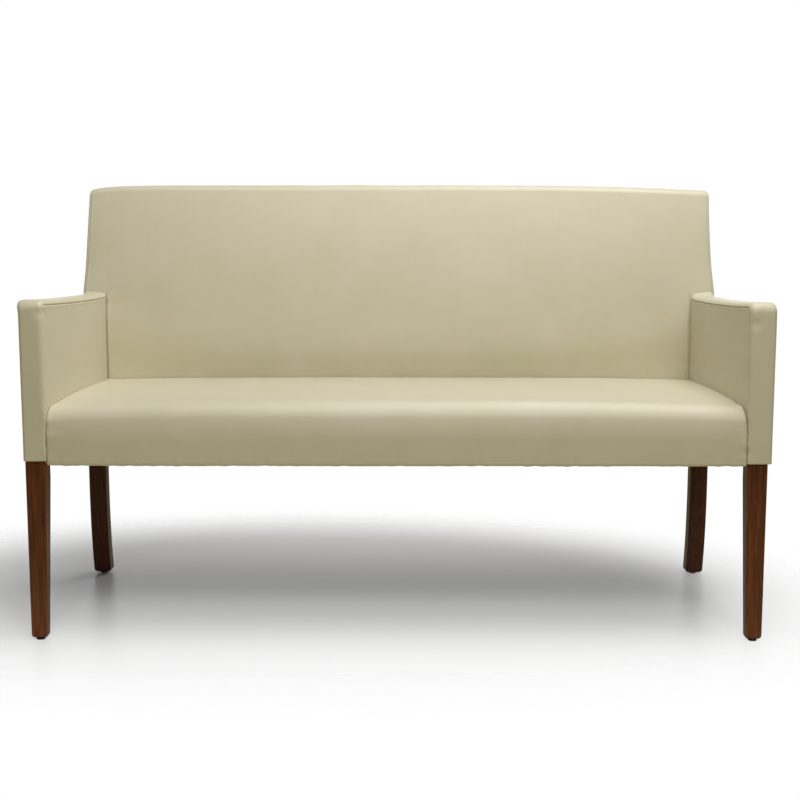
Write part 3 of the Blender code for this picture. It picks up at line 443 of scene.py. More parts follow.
def stained_walnut(looks):
    """Hardwood, planed, stained walnut and lacquered satin: dark straight grain along the leg.

    Light and shade are painted into the stain: paler towards the foot, where the floor lights it,
    darker just under the covers, and darker and less orange on the rear legs, in the seat's shadow.
    """
    material, tree, shader, place = blank_material("stained_walnut", 0.42)
    stretched = add_node(tree, "ShaderNodeMapping", Vector=place,
                         Scale=(1.0, 1.0, WALNUT_ALONG_SHARE))
    band = add_node(tree, "ShaderNodeTexNoise", Vector=stretched.outputs[0],
                    Scale=1.0 / looks.grain_width, Detail=5.0, Roughness=0.6, Distortion=0.4)
    pore_place = add_node(tree, "ShaderNodeMapping", Vector=place,
                          Scale=(1.0, 1.0, PORE_ALONG_SHARE))
    pore = add_node(tree, "ShaderNodeTexNoise", Vector=pore_place.outputs[0],
                    Scale=PORES_PER_BAND / looks.grain_width, Detail=2.0)
    tone = add_node(tree, "ShaderNodeMapRange", Value=band.outputs[0], From_Min=0.33, From_Max=0.66)
    tint, _ = finish_surface(tree, shader, tone.outputs[0], looks.stain_dark, looks.stain,
                             pore.outputs[0], strength=0.35, depth=0.1 * MM)
    deep = add_node(tree, "ShaderNodeMapRange", Value=pore.outputs[0], From_Min=0.35, From_Max=0.50,
                    To_Min=0.72, To_Max=1.0)
    # Painted light and shade: the stain is lightened at the foot as if by the floor's bounce,
    # darkened just under the covers, and darkened on the rear legs as if in the seat's shadow.
    split = add_node(tree, "ShaderNodeSeparateXYZ", Vector=place)
    height = add_node(tree, "ShaderNodeMapRange", Value=split.outputs[2], From_Max=COVER_BOTTOM)
    painted_light_by_height = add_node(tree, "ShaderNodeMix", COLOURS, _0=height.outputs[0],
                    _6=rgba(PAINTED_BOUNCE_AT_FOOT), _7=rgba(PAINTED_SHADE_UNDER_COVERS))
    rear = add_node(tree, "ShaderNodeMapRange", Value=split.outputs[1],
                    From_Min=PAINTED_SHADOW_REAR_START, From_Max=PAINTED_SHADOW_REAR_END)
    painted_shade_mix = add_node(tree, "ShaderNodeMix", COLOURS, _0=rear.outputs[0],
                      _6=painted_light_by_height.outputs[2], _7=rgba(PAINTED_SHADOW_ON_REAR_LEGS))
    for factor in (deep.outputs[0], painted_shade_mix.outputs[2]):
        tint = add_node(tree, "ShaderNodeMix", MULTIPLIED, _0=1.0, _6=tint.outputs[2], _7=factor)
    tree.links.new(tint.outputs[2], shader.inputs["Base Color"])
    shader.inputs["Specular IOR Level"].default_value = 0.18
    return material


def planed_beech(way, axis):
    """Planed beech, unfinished: pale straight grain along an axis, with short dark flecks."""
    material, tree, shader, place = blank_material(f"planed_beech_{way}", 0.65)
    stretch = [1.0, 1.0, 1.0]
    stretch[axis] = BEECH_ALONG_SHARE
    stretched = add_node(tree, "ShaderNodeMapping", Vector=place, Scale=stretch)
    band = add_node(tree, "ShaderNodeTexNoise", Vector=stretched.outputs[0],
                    Scale=1.0 / BEECH_BAND, Detail=4.0, Roughness=0.55)
    fleck = add_node(tree, "ShaderNodeTexNoise", Vector=stretched.outputs[0], Scale=1.0 / BEECH_FLECK)
    tone = add_node(tree, "ShaderNodeMapRange", Value=band.outputs[0], From_Min=0.35, From_Max=0.65)
    finish_surface(tree, shader, tone.outputs[0], linear("B98F62"), linear("D3B287"),
                   fleck.outputs[0], strength=0.3, depth=0.1 * MM)
    return material


def pressed_hardboard():
    """Pressed hardboard: brown fibres with a smooth side."""
    material, tree, shader, place = blank_material("pressed_hardboard", 0.75)
    fibre = add_node(tree, "ShaderNodeTexNoise", Vector=place, Scale=1.0 / HARDBOARD_FIBRE,
                     Detail=6.0, Roughness=0.7)
    finish_surface(tree, shader, fibre.outputs[0], linear("553A25"), linear("7E5A3C"),
                   fibre.outputs[0], strength=0.3, depth=0.1 * MM)
    return material


def cut_foam():
    """Polyurethane foam, cut with a blade: matt, with open pores about a millimetre wide."""
    material, tree, shader, place = blank_material("cut_polyurethane_foam", 0.95)
    pore = add_node(tree, "ShaderNodeTexVoronoi", Vector=place, Scale=1.0 / FOAM_PORE)
    finish_surface(tree, shader, pore.outputs["Distance"], linear("CFC49C"), linear("EEE6C8"),
                   pore.outputs["Distance"], strength=0.5, depth=0.4 * MM)
    return material


def woven_webbing():
    """Elastic webbing, woven of rubber and polypropylene: dark ribs both ways, about 4 mm apart.

    They are drawn wider than real ones, so that they show.
    """
    material, tree, shader, place = blank_material("woven_elastic_webbing", 0.85)
    ribs = [add_node(tree, "ShaderNodeTexWave", {"bands_direction": way}, Vector=place,
                     Scale=WAVE_REPEAT / WEBBING_RIB).outputs[1] for way in "XY"]
    weave = add_node(tree, "ShaderNodeMath", {"operation": "MAXIMUM"}, _0=ribs[0], _1=ribs[1])
    finish_surface(tree, shader, weave.outputs[0], linear("1D1A17"), linear("453E37"),
                   weave.outputs[0], strength=0.6, depth=0.4 * MM)
    return material


def black_cambric():
    """Cambric, bonded of fibres: matt black with a faint cloud."""
    material, tree, shader, place = blank_material("bonded_black_cambric", 0.95)
    fibre = add_node(tree, "ShaderNodeTexNoise", Vector=place, Scale=1.0 / CAMBRIC_FIBRE, Detail=4.0)
    finish_surface(tree, shader, fibre.outputs[0], linear("111112"), linear("2A2A2B"),
                   fibre.outputs[0], strength=0.4, depth=0.2 * MM)
    return material


def moulded_glide():
    """Polyethylene, moulded: near black with a fine spark-eroded texture."""
    material, tree, shader, place = blank_material("moulded_polyethylene", 0.5)
    spark = add_node(tree, "ShaderNodeTexNoise", Vector=place, Scale=1.0 / GLIDE_SPARK, Detail=2.0)
    finish_surface(tree, shader, spark.outputs[0], linear("0E0E0E"), linear("1E1D1C"),
                   spark.outputs[0], strength=0.3, depth=0.1 * MM)
    return material


def satin_white_board(looks):
    """Smooth white studio board, satin, that fades into the white room around it."""
    material, tree, shader, place = blank_material("satin_white_board", 0.3)
    cloud = add_node(tree, "ShaderNodeTexNoise", Vector=place, Scale=FLOOR_CLOUDS_PER_METRE,
                     Detail=2.0)
    clouded = [channel * FLOOR_CLOUD_SHARE for channel in looks.floor]
    tint = add_node(tree, "ShaderNodeMix", COLOURS, _0=cloud.outputs[0],
                    _6=rgba(looks.floor), _7=rgba(clouded))
    tree.links.new(tint.outputs[2], shader.inputs["Base Color"])
    oval = add_node(tree, "ShaderNodeMapping", {"vector_type": "TEXTURE"}, Vector=place,
                    Location=FLOOR_MIDDLE, Rotation=FLOOR_TURN, Scale=FLOOR_OVAL)
    away = add_node(tree, "ShaderNodeVectorMath", {"operation": "LENGTH"}, _0=oval.outputs[0])
    fade = add_node(tree, "ShaderNodeMapRange", SMOOTH, Value=away.outputs["Value"],
                    From_Min=FLOOR_FULL_SHARE, From_Max=1.0, To_Min=1.0, To_Max=0.0)
    split = add_node(tree, "ShaderNodeSeparateXYZ", Vector=place)
    near = add_node(tree, "ShaderNodeMapRange", SMOOTH, Value=split.outputs[1],
                    From_Min=FLOOR_NEAR, From_Max=FLOOR_NEAR_END)
    alpha = add_node(tree, "ShaderNodeMath", {"operation": "MULTIPLY"}, _0=fade.outputs[0],
                     _1=near.outputs[0])
    tree.links.new(alpha.outputs[0], shader.inputs["Alpha"])
    shader.inputs["Specular IOR Level"].default_value = 0.15
    return material


def fillet(near, other, radius):
    """Round the corner between two faces, given how far a point lies inside each."""
    if near >= radius or other >= radius:
        return near, other
    inward = Vector((radius - near, radius - other))
    if inward.length == 0.0:
        return near, other
    inward *= max(inward) / inward.length
    return radius - inward.x, radius - inward.y


def profile(depth, top, radius):
    """Round an edge; give the point, how far it lies inside the outline and the way in."""
    depth, top = fillet(depth, top, radius)
    if depth < radius and top < radius:
        inward = Vector((radius - depth, radius - top))
        return depth, top, radius - inward.length, inward.normalized()
    if depth < top:
        return depth, top, depth, Vector((1.0, 0.0))
    return depth, top, top, Vector((0.0, 1.0))


def round_side(edge, depth, top, inside, way, radius):
    """Round the edge between the outline and the side face."""
    new_edge, new_inside = fillet(edge, inside, radius)
    move = way * (new_inside - inside)
    return new_edge, depth + move.x, top + move.y, new_inside


def cell_lines(knots, cells, seams=()):
    """Places of the cell lines: each stretch in cells of its own size, finer beside seams."""
    lines = [knots[0]]
    for start, end, cell in zip(knots, knots[1:], cells):
        count = max(1, round((end - start) / cell))
        lines += [start + (end - start) * i / count for i in range(1, count + 1)]
    for seam in seams:
        lines = [place for place in lines
                 if abs(place - seam) > SEAM_REACH or place in (knots[0], knots[-1])]
        lines += [seam + step for step in SEAM_LINES if knots[0] < seam + step < knots[-1]]
    return sorted(lines)


def clamp(value, low=0.0, high=1.0):
    """A value kept between a low and a high one."""
    return min(high, max(low, value))


def hump(share):
    """Nothing at both ends of a stretch, and one in its middle."""
    return 4 * share * (1 - share)


def bell(distance, width):
    """One at no distance, and nothing well past a width."""
    return math.exp(-(distance / width) ** 2)


def seam_offset(distance):
    """How far the leather stands out at a distance from a sewn seam."""
    ridge = SEAM_RIDGE * bell(abs(distance) - SEAM_RIDGE_PLACE, SEAM_RIDGE_WIDTH)
    return ridge - SEAM_DEPTH * bell(distance, SEAM_WIDTH)


def gap_offset(distance):
    """How far the leather stands out at a distance from where it meets another cover."""
    ridge = GAP_RIDGE * bell(abs(distance) - GAP_RIDGE_PLACE, GAP_RIDGE_WIDTH)
    return ridge - GAP_DEPTH * bell(distance, GAP_WIDTH)


def gridded_block(*lines):
    """A block whose faces are cut into cells at lines along its width, depth and height."""
    bm = bmesh.new()
    bmesh.ops.create_cube(bm, size=1.0, matrix=Matrix.Translation((0.5, 0.5, 0.5)))
    for axis, places in enumerate(lines):
        runs = [edge for edge in bm.edges
                if abs(edge.verts[0].co[axis] - edge.verts[1].co[axis]) > 0.5]
        bmesh.ops.subdivide_edges(bm, edges=runs, cuts=len(places) - 2, use_grid_fill=True)
    for vertex in bm.verts:
        for axis, places in enumerate(lines):
            vertex.co[axis] = places[round(vertex.co[axis] * (len(places) - 1))]
    return bm


def drop_faces(bm, test):
    """Delete the faces whose normal and middle pass a test."""
    bm.normal_update()
    faces = [face for face in bm.faces if test(face.normal, face.calc_center_median())]
    bmesh.ops.delete(bm, geom=faces, context="FACES")


def add_object(name, data):
    """Put a mesh, a light or a camera into the scene."""
    item = bpy.data.objects.new(name, data)
    bpy.context.scene.collection.objects.link(item)
    return item


def add_mesh(name, bm, material):
    """Put a bmesh into the scene with its material."""
    mesh = bpy.data.meshes.new(name)
    bm.to_mesh(mesh)
    bm.free()
    mesh.materials.append(material)
    return add_object(name, mesh)


def add_piece(name, bm, material, *replaced, slot="leather"):
    """Make a piece of a bmesh, and let it stand for nodes of the frame."""
    piece = add_mesh(name, bm, material)
    piece.data.shade_smooth()
    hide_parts(*replaced)
    return piece


def press_out(piece, pressure, most):
    """Let the foam press a cover out between its seams, by cloth simulation."""
    mesh = piece.data
    start = [vertex.co.copy() for vertex in mesh.vertices]
    normals = [vertex.normal.copy() for vertex in mesh.vertices]
    pins = [pin.value for pin in mesh.attributes["pin"].data]
    held = piece.vertex_groups.new(name="held")
    for index, pin in enumerate(pins):
        held.add([index], pin, "REPLACE")
    modifier = piece.modifiers.new("foam pressure", "CLOTH")
    cloth = modifier.settings
    for name, value in CLOTH.items():
        setattr(cloth, name, value)
    cloth.vertex_group_mass = "held"
    cloth.uniform_pressure_force = pressure
    cloth.effector_weights.gravity = 0.0
    modifier.collision_settings.use_collision = False
    scene = bpy.context.scene
    for number in range(1, CLOTH_FRAMES + 1):
        scene.frame_set(number)
    pressed = piece.evaluated_get(bpy.context.evaluated_depsgraph_get())
    steps = bmesh.new()
    steps.from_mesh(mesh)
    steps.verts.ensure_lookup_table()
    for vertex, old, moved in zip(steps.verts, start, pressed.data.vertices):
        vertex.co = moved.co - old
    piece.modifiers.remove(modifier)
    piece.vertex_groups.remove(held)
    scene.frame_set(1)
    for _ in range(FOLD_SMOOTHING):
        bmesh.ops.smooth_vert(steps, verts=steps.verts, factor=FOLD_SMOOTHING_SHARE,
                              use_axis_x=True, use_axis_y=True, use_axis_z=True)
    for vertex, old, normal, pin, moved in zip(mesh.vertices, start, normals, pins, steps.verts):
        out = clamp(moved.co.dot(normal), 0.0, most)
        vertex.co = old + normal * out * (1 - pin) ** 2
    steps.free()
    mesh.update()


def draw_in_seams(piece):
    """Pull the seams in and the puckers out along each point's normal."""
    mesh = piece.data
    normals = [vertex.normal.copy() for vertex in mesh.vertices]
    offsets = mesh.attributes["offset"].data
    for vertex, normal, offset in zip(mesh.vertices, normals, offsets):
        vertex.co += normal * offset.value
    mesh.update()


def add_cover(name, bm, looks, node, most):
    """Make a cover that is pressed out, has its seams drawn in, and is as thick as leather."""
    piece = add_piece(name, bm, shared_leather(looks), node)
    press_out(piece, looks.pressure, most)
    draw_in_seams(piece)
    skin = piece.modifiers.new("leather thickness", "SOLIDIFY")
    skin.thickness = LEATHER
    skin.offset = -1.0
    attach(piece, BODY)


def ripple(place, looks, seed):
    """How far the leather lies off its true surface: broad and shallow."""
    seed_place = Vector((SEEDS[seed], 0.0, 0.0))
    return looks.ripple * noise.noise(place * RIPPLES_PER_METRE + seed_place)


def pucker(along, away, looks, seed, side=0.0):
    """Short folds that stand square to a seam and die out away from it."""
    place = (along * PUCKERS_PER_METRE, away * PUCKER_TURNS_PER_METRE, SEEDS[seed] + side)
    return looks.pucker * noise.noise(place) * math.exp(-away / PUCKER_REACH)


def back_front(x, z):
    """Y of the front of the back's cover, which leans more the higher it goes."""
    rise_share = max(0.0, (z - BACK_FOOT) / (BACK_TOP - BACK_FOOT))
    across_share = min(1.0, abs(x) / ARM_INNER)
    leaning = BACK_LEAN * rise_share ** 2
    above = max(0.0, z - SEAT_EDGE_TOP)
    corner_share = across_share ** BACK_CORNER_POWER
    run = BACK_TUCK_RUN + BACK_CORNER_RUN * corner_share
    tucked = BACK_TUCK * (1 - BACK_CORNER_LOSS_SHARE * corner_share) * bell(above, run)
    crown = BACK_CROWN * (1 - across_share ** BACK_CROWN_POWER)
    return FRONT + SEAT_DEPTH + leaning + tucked - crown


def back_rear(z):
    """Y of the rear of the inside back cover."""
    return FRONT + REAR_BEND_DEPTH + (z - REAR_BEND) * math.tan(REAR_RAKE)


def above_arms(z):
    """The share of the way from the arms' tops to the back's top."""
    return max(0.0, (z - ARM_TOP) / (BACK_TOP - ARM_TOP))


def back_drop(name, side_share):
    """How far the back's top edge lies below the frame's, which is most at the ends."""
    return BACK_END_DROP[name] * side_share ** BACK_END_POWER[name] - BACK_TOP_RISE


def back_spread(name, side_share, z):
    """How far the back's side stands outside the frame's: bulged, and drawn in at the top."""
    above_share = above_arms(z)
    bulge = BACK_SIDE_BULGE[name] * min(1.0, (2 * above_share - 1) ** 2)
    return (bulge - BACK_NARROWING[name] * above_share) * side_share


def seat_spread(name, y, z):
    """How far the seat's end spreads into the arm, which it does most at the front."""
    level_share = clamp((SEAT_EDGE_TOP - z) / SEAT_SPREAD_RUN)
    return SEAT_SPREAD[name] * level_share * bell(y - FRONT, SEAT_SPREAD_RUN)


def new_layers(bm):
    """The layers that hold each point's pin and its seam or pucker offset."""
    return bm.verts.layers.float.new("pin"), bm.verts.layers.float.new("offset")


def seat_cover_mesh(looks):
    """The seat's cover: crowned top, front roll and front, hem turned under, ends tucked in."""
    half = ARM_INNER - CLEAR
    wide = half + half
    height = SEAT_EDGE_TOP - SEAT_BOTTOM
    band = SEAT_EDGE_ROLL + SEAT_EDGE_ROLL
    hem_band = SEAT_HEM_ROLL + SEAT_HEM_ROLL
    lines = (cell_lines((0.0, band, wide - band, wide), (FINE_CELL, CELL, FINE_CELL)),
             cell_lines((0.0, hem_band, SEAT_ROLL, REAR_BAND, SEAT_DEPTH),
                        (FINE_CELL, ROLL_CELL, CELL, GAP_WIDTH)),
             cell_lines((0.0, hem_band, height - SEAT_ROLL, height),
                        (FINE_CELL, CELL, ROLL_CELL)))
    bm = gridded_block(*lines)
    drop_faces(bm, lambda n, c: n.y > FACING_SHARE and c.z < height - SEAT_TUCK)
    drop_faces(bm, lambda n, c: n.z < -FACING_SHARE and c.y > SEAT_HEM_WIDTH)
    drop_faces(bm, lambda n, c: abs(n.x) > FACING_SHARE and c.y > SEAT_TUCK and
               c.z < height - SEAT_TUCK)
    pin, offset = new_layers(bm)
    crown_place = SEAT_DEPTH * SEAT_CROWN_PLACE_SHARE
    for vertex in bm.verts:
        x, depth, up = vertex.co
        x -= half
        edge = half - abs(x)
        depth, low = fillet(depth, up, SEAT_HEM_ROLL)
        depth, top, inside, way = profile(depth, height - low, SEAT_ROLL)
        edge, depth, top, inside = round_side(edge, depth, top, inside, way, SEAT_EDGE_ROLL)
        name = "right" if x > 0 else "left"
        x = math.copysign(half - edge, x)
        side_share = x / half
        along_share = (depth - crown_place) / (SEAT_DEPTH - crown_place)
        kept_share = 1 - SEAT_CROWN_LOSS_SHARE * along_share ** 2
        depth_share = depth / SEAT_DEPTH
        end_share = side_share ** SEAT_CROWN_POWER
        crown = SEAT_CROWN * (1 - end_share) * kept_share
        crown += SEAT_SIDE_CROWN * end_share * hump(depth_share)
        z = SEAT_BOTTOM + (1 - top / height) * (height + crown)
        y = FRONT + depth_share * (back_front(x, z) - CLEAR - FRONT)
        y += SEAT_FRONT_DRAW * side_share ** SEAT_DRAW_POWER * max(0.0, 1 - depth / SEAT_ROLL)
        lean_share = max(0.0, (z - SEAT_LEAN_START) / (SEAT_EDGE_TOP - SEAT_LEAN_START))
        y += SEAT_FRONT_LEAN * lean_share ** 2 * (1 - depth_share) ** SEAT_LEAN_POWER
        z -= SEAT_HEM_DROP * max(0.0, 1 - up / hem_band)
        shut_share = clamp((inside - SEAT_EDGE_ROLL) / SEAT_SLIT_RUN)
        reach = seat_spread(name, y, z) + CLEAR - SEAT_SLIT * (1 - shut_share)
        x += math.copysign(reach * bell(edge, SEAT_EDGE_ROLL), x)
        vertex.co = (x, y, z)
        rear = SEAT_DEPTH - depth
        hidden = edge < SEAT_EDGE_ROLL / 2 or rear < GAP_WIDTH or up < hem_band
        vertex[pin] = 1.0 if hidden else FOAM_HOLD_SHARE
        along = y if way.y > way.x else z
        fold = pucker(along, edge, looks, "seat ends", math.copysign(1.0, x))
        fold += SEAT_REAR_PUCKER_SHARE * pucker(x, rear, looks, "seat rear")
        fold += SEAT_HEM_PUCKER_SHARE * pucker(x, up, looks, "seat hem")
        if up > height - SEAT_EDGE_ROLL:
            fold += gap_offset(rear)
        fold += ripple(vertex.co, looks, "seat ripple")
        vertex[offset] = fold if edge > CLEAR else SEAT_EDGE_FOLD_SHARE * fold
    return bm


def arm_cover_mesh(name, side, looks):
    """An arm's cover: a strip over the top and down the front between two side panels."""
    thickness = HALF_WIDTH - ARM_INNER
    bottom = COVER_BOTTOM + ARM_HEM_RISE[name]
    height = ARM_TOP - bottom
    band = ARM_EDGE_ROLL + FINE_CELL
    hem_band = ARM_HEM_ROLL + ARM_HEM_ROLL
    lines = (cell_lines((0.0, band, thickness - band, thickness),
                        (EDGE_CELL, STRIP_CELL, EDGE_CELL)),
             cell_lines((0.0, ARM_ROLL, REAR_BAND, SEAT_DEPTH), (FINE_CELL, CELL, GAP_WIDTH),
                        (ARM_EDGE_ROLL,)),
             cell_lines((0.0, hem_band, height - ARM_ROLL, height), (EDGE_CELL, CELL, FINE_CELL),
                        (height - ARM_EDGE_ROLL,)))
    bm = gridded_block(*lines)
    tuck = ARM_TUCK_LEVEL - bottom
    drop_faces(bm, lambda n, c: n.y > FACING_SHARE)
    drop_faces(bm, lambda n, c: n.z < -FACING_SHARE and c.y > ARM_HEM_WIDTH and
               c.x < thickness - ARM_HEM_WIDTH)
    drop_faces(bm, lambda n, c: n.x < -FACING_SHARE and c.z < tuck and c.y > ARM_ROLL)
    pin, offset = new_layers(bm)
    for vertex in bm.verts:
        across, depth, up = vertex.co
        outer = across > thickness / 2
        edge = thickness - across if outer else across
        depth, low = fillet(depth, up, ARM_HEM_ROLL)
        edge, low = fillet(edge, low, ARM_HEM_ROLL)
        depth, top, inside, way = profile(depth, height - low, ARM_ROLL)
        from_seam = inside - ARM_EDGE_ROLL if edge < ON_EDGE else -ARM_EDGE_ROLL - edge
        roll = ARM_EDGE_ROLL
        if not outer:
            below = SEAT_EDGE_TOP + ARM_EDGE_ROLL - ARM_TOP + top
            level_share = clamp(below / (2 * ARM_EDGE_ROLL))
            roll += (ARM_SEAT_ROLL - roll) * level_share
        edge, depth, top, inside = round_side(edge, depth, top, inside, way, roll)
        edge_share = edge / thickness
        outer_share = 1 - edge_share if outer else edge_share
        rear = SEAT_DEPTH - depth
        up_share = max(0.0, 1 - top / ARM_CROWN_REACH)
        depth_share = depth / SEAT_DEPTH
        lift_share = ARM_LIFT_INNER_SHARE + (1 - ARM_LIFT_INNER_SHARE) * outer_share
        rear_lift = ARM_LIFT[name] * bell(rear, ARM_LIFT_RUN) * lift_share
        fall = ARM_FALL * depth_share + ARM_DROP[name] + ARM_SAG[name] * hump(depth_share)
        z = ARM_TOP - top - fall * (1 - top / height)
        z += (ARM_CROWN * hump(edge_share) + rear_lift) * up_share
        y = FRONT + depth * (back_front(ARM_INNER, z) - CLEAR - FRONT) / SEAT_DEPTH
        hollow_share = clamp(top / ARM_HOLLOW_TOP)
        x = HALF_WIDTH - edge - ARM_HOLLOW[name] * hollow_share * (2 * outer_share - 1)
        if not outer:
            x = ARM_INNER + edge + seat_spread(name, y, z) * bell(edge, ARM_EDGE_ROLL)
        vertex.co = (side * x, y, z)
        hidden = low < hem_band or rear < GAP_WIDTH
        at_seam = not outer and abs(from_seam) < ON_SEAM
        vertex[pin] = 1.0 if hidden or at_seam else FOAM_HOLD_SHARE
        along = y if way.y > way.x else z
        dimple_x, dimple_z = ARM_DIMPLE_PLACE[name]
        dimple = ARM_DIMPLE * bell(math.hypot(x - dimple_x, z - dimple_z), ARM_DIMPLE_WIDTH)
        fold = ARM_GAP_SHARE * gap_offset(rear) - dimple * max(0.0, way.x)
        if not outer:
            fold += level_share * way.x * pucker(z, edge, looks, "arm at seat", side)
            fade_share = clamp((z - ARM_TOP + ARM_SEAM_FADE) / ARM_SEAM_FADE_RUN,
                               ARM_SEAM_LEAST_SHARE)
            fold += seam_offset(from_seam) * fade_share
            fold += ARM_SEAM_PUCKER_SHARE * pucker(along, abs(from_seam), looks, "arm seam", side)
        fold += ARM_REAR_PUCKER_SHARE * pucker(z, rear, looks, "arm rear", side)
        fold += ARM_HEM_PUCKER_SHARE * pucker(along, low, looks, "arm hem", side)
        vertex[offset] = fold + ARM_RIPPLE_SHARE * ripple(vertex.co, looks, "arm ripple")
    if side < 0:
        bmesh.ops.reverse_faces(bm, faces=bm.faces)
    return bm


def back_cover_mesh(looks):
    """The inside back's cover: front, top and side boxing, open behind and below."""
    height = BACK_TOP - COVER_BOTTOM
    band = BACK_ROLL + FINE_CELL
    seams = (BACK_SEAM, WIDTH - BACK_SEAM, HALF_WIDTH - ARM_INNER, HALF_WIDTH + ARM_INNER)
    lines = (cell_lines((0.0, band, WIDTH - band, WIDTH), (FINE_CELL, CELL, FINE_CELL), seams),
             cell_lines((0.0, BACK_ROLL, BACK_THICKNESS - BACK_REAR_ROLL, BACK_THICKNESS),
                        (FINE_CELL, CELL, FINE_CELL)),
             cell_lines((0.0, height - band, height), (CELL, FINE_CELL)))
    bm = gridded_block(*lines)
    foot = BACK_FOOT - BACK_FOOT_HIDDEN - COVER_BOTTOM
    clear = HALF_WIDTH - REAR_LEG_OUTER
    drop_faces(bm, lambda n, c: n.y > FACING_SHARE or n.z < -FACING_SHARE)
    drop_faces(bm, lambda n, c: n.y < -FACING_SHARE and c.z < foot and
               clear < c.x < WIDTH - clear)
    pin, offset = new_layers(bm)
    seat_line = SEAT_EDGE_TOP + SEAT_CROWN / 2
    for vertex in bm.verts:
        across, depth, up = vertex.co
        right = across > HALF_WIDTH
        name = "right" if right else "left"
        edge = WIDTH - across if right else across
        from_seam = edge - BACK_SEAM if depth < BACK_ROLL else HALF_WIDTH
        depth, top, inside, way = profile(depth, height - up, BACK_ROLL)
        edge, depth, top, inside = round_side(edge, depth, top, inside, way,
                                              BACK_CORNER_ROLL[name])
        side_share = 1 - edge / HALF_WIDTH
        z = BACK_TOP - top - back_drop(name, side_share) * up / height
        x = HALF_WIDTH - edge + back_spread(name, side_share, z)
        x = x if right else -x
        ease_share = side_share ** BACK_EASE_POWER * min(1.0, BACK_EASE_QUICKENING * above_arms(z))
        front = back_front(x, z) + BACK_SIDE_EASE * ease_share
        y = front + depth * (back_rear(z) - front) / BACK_THICKNESS
        vertex.co = (x, y, z)
        hidden = BACK_THICKNESS - depth < BACK_REAR_ROLL or z < BACK_FOOT
        at_seam = abs(from_seam) < ON_SEAM
        vertex[pin] = 1.0 if hidden or at_seam else FOAM_HOLD_SHARE
        to_arm = ARM_INNER - abs(x)
        fold = 0.0
        arm_rear_top = ARM_TOP - ARM_FALL - ARM_DROP[name]
        below_share = clamp((arm_rear_top - z) / GAP_RIDGE_PLACE)
        if depth < BACK_ROLL:
            pull = pucker(z, abs(to_arm), looks, f"back at {name} arm")
            fold += below_share * (pull + gap_offset(to_arm))
        if way.x > way.y:
            fold += seam_offset(from_seam)
        fold += BACK_SEAT_PUCKER_SHARE * pucker(x, abs(z - seat_line), looks, "back at seat")
        vertex[offset] = fold + ripple(vertex.co, looks, "back ripple")
    return bm


def outside_back_mesh():
    """The outside back's cover: one flat panel with turned edges, blind stitched."""
    height = REAR_TOP - COVER_BOTTOM
    band = REAR_THICKNESS + REAR_THICKNESS
    lines = (cell_lines((0.0, band, WIDTH - band, WIDTH), (EDGE_CELL, CELL, EDGE_CELL)),
             (0.0, REAR_THICKNESS / 2, REAR_THICKNESS),
             cell_lines((0.0, band, height - band, height), (EDGE_CELL, CELL, EDGE_CELL)))
    bm = gridded_block(*lines)
    for vertex in bm.verts:
        across, depth, up = vertex.co
        x = across - HALF_WIDTH
        edge = min(across, WIDTH - across, up, height - up)
        side_share = abs(x) / HALF_WIDTH
        name = "right" if x > 0 else "left"
        z = COVER_BOTTOM + up - back_drop(name, side_share) * up / height
        x += math.copysign(back_spread(name, side_share, z), x)
        rounding_share = max(0.0, 1 - edge / REAR_THICKNESS) ** 2
        y = back_rear(z) + (CLEAR + depth * (1 - rounding_share)) / math.cos(REAR_RAKE)
        vertex.co = (x, y, z)
    return bm


def cut_finer(bm):
    """Cut the foam's faces into triangles, and halve their edges until they are short."""
    bmesh.ops.triangulate(bm, faces=bm.faces)
    for _ in range(FOAM_CUTS):
        long_edges = [edge for edge in bm.edges if edge.calc_length() > FOAM_CELL]
        if not long_edges:
            break
        bmesh.ops.subdivide_edges(bm, edges=long_edges, cuts=1)
        bmesh.ops.triangulate(bm, faces=bm.faces)
    bm.normal_update()


def push_in(vertex, place, way, room):
    """Push a point of the foam back until it lies under the leather at a place."""
    lack = LEATHER + room - (place - vertex.co).dot(way)
    vertex.co -= way * max(0.0, lack)


def settle_foam(bm, cover, room):
    """Press the foam in wherever its cover lies lower, so that it stays under the leather."""
    cut_finer(bm)
    shell = bmesh.new()
    shell.from_mesh(cover)
    tree = BVHTree.FromBMesh(shell)
    shell.free()
    outward = [vertex.normal.copy() for vertex in bm.verts]
    for vertex, out in zip(bm.verts, outward):
        place, normal, _, _ = tree.find_nearest(vertex.co, FOAM_REACH)
        if place:
            push_in(vertex, place, normal, room)
        place, normal, _, _ = tree.ray_cast(vertex.co - out * FOAM_REACH, out, 2 * FOAM_REACH)
        if place and normal.dot(out) > 0.0:
            push_in(vertex, place, out, room)


def add_sky():
    """A white backdrop behind the piece, a pale ceiling and a darker room before it."""
    world = bpy.data.worlds.new("studio")
    world.use_nodes = True
    tree = world.node_tree
    place = add_node(tree, "ShaderNodeTexCoord").outputs["Generated"]
    split = add_node(tree, "ShaderNodeSeparateXYZ", Vector=place)
    behind = add_node(tree, "ShaderNodeMapRange", SMOOTH, Value=split.outputs[1],
                      From_Min=BACKDROP_START, From_Max=BACKDROP_END)
    above = add_node(tree, "ShaderNodeMapRange", SMOOTH, Value=split.outputs[2],
                     From_Min=CEILING_START, From_Max=CEILING_END)
    below = add_node(tree, "ShaderNodeMath", {"operation": "LESS_THAN"}, _0=split.outputs[2],
                     _1=0.0)
    seen = add_node(tree, "ShaderNodeLightPath").outputs["Is Camera Ray"]
    tint = rgba(BLACK)
    for share, part in ((behind.outputs[0], SKY_BACKDROP), (above.outputs[0], SKY_CEILING),
                        (below.outputs[0], SKY_FLOOR), (seen, WHITE)):
        mix = add_node(tree, "ShaderNodeMix", COLOURS, _0=share, _6=tint, _7=rgba(part))
        tint = mix.outputs[2]
    tree.links.new(tint, tree.nodes["Background"].inputs["Color"])
    bpy.context.scene.world = world


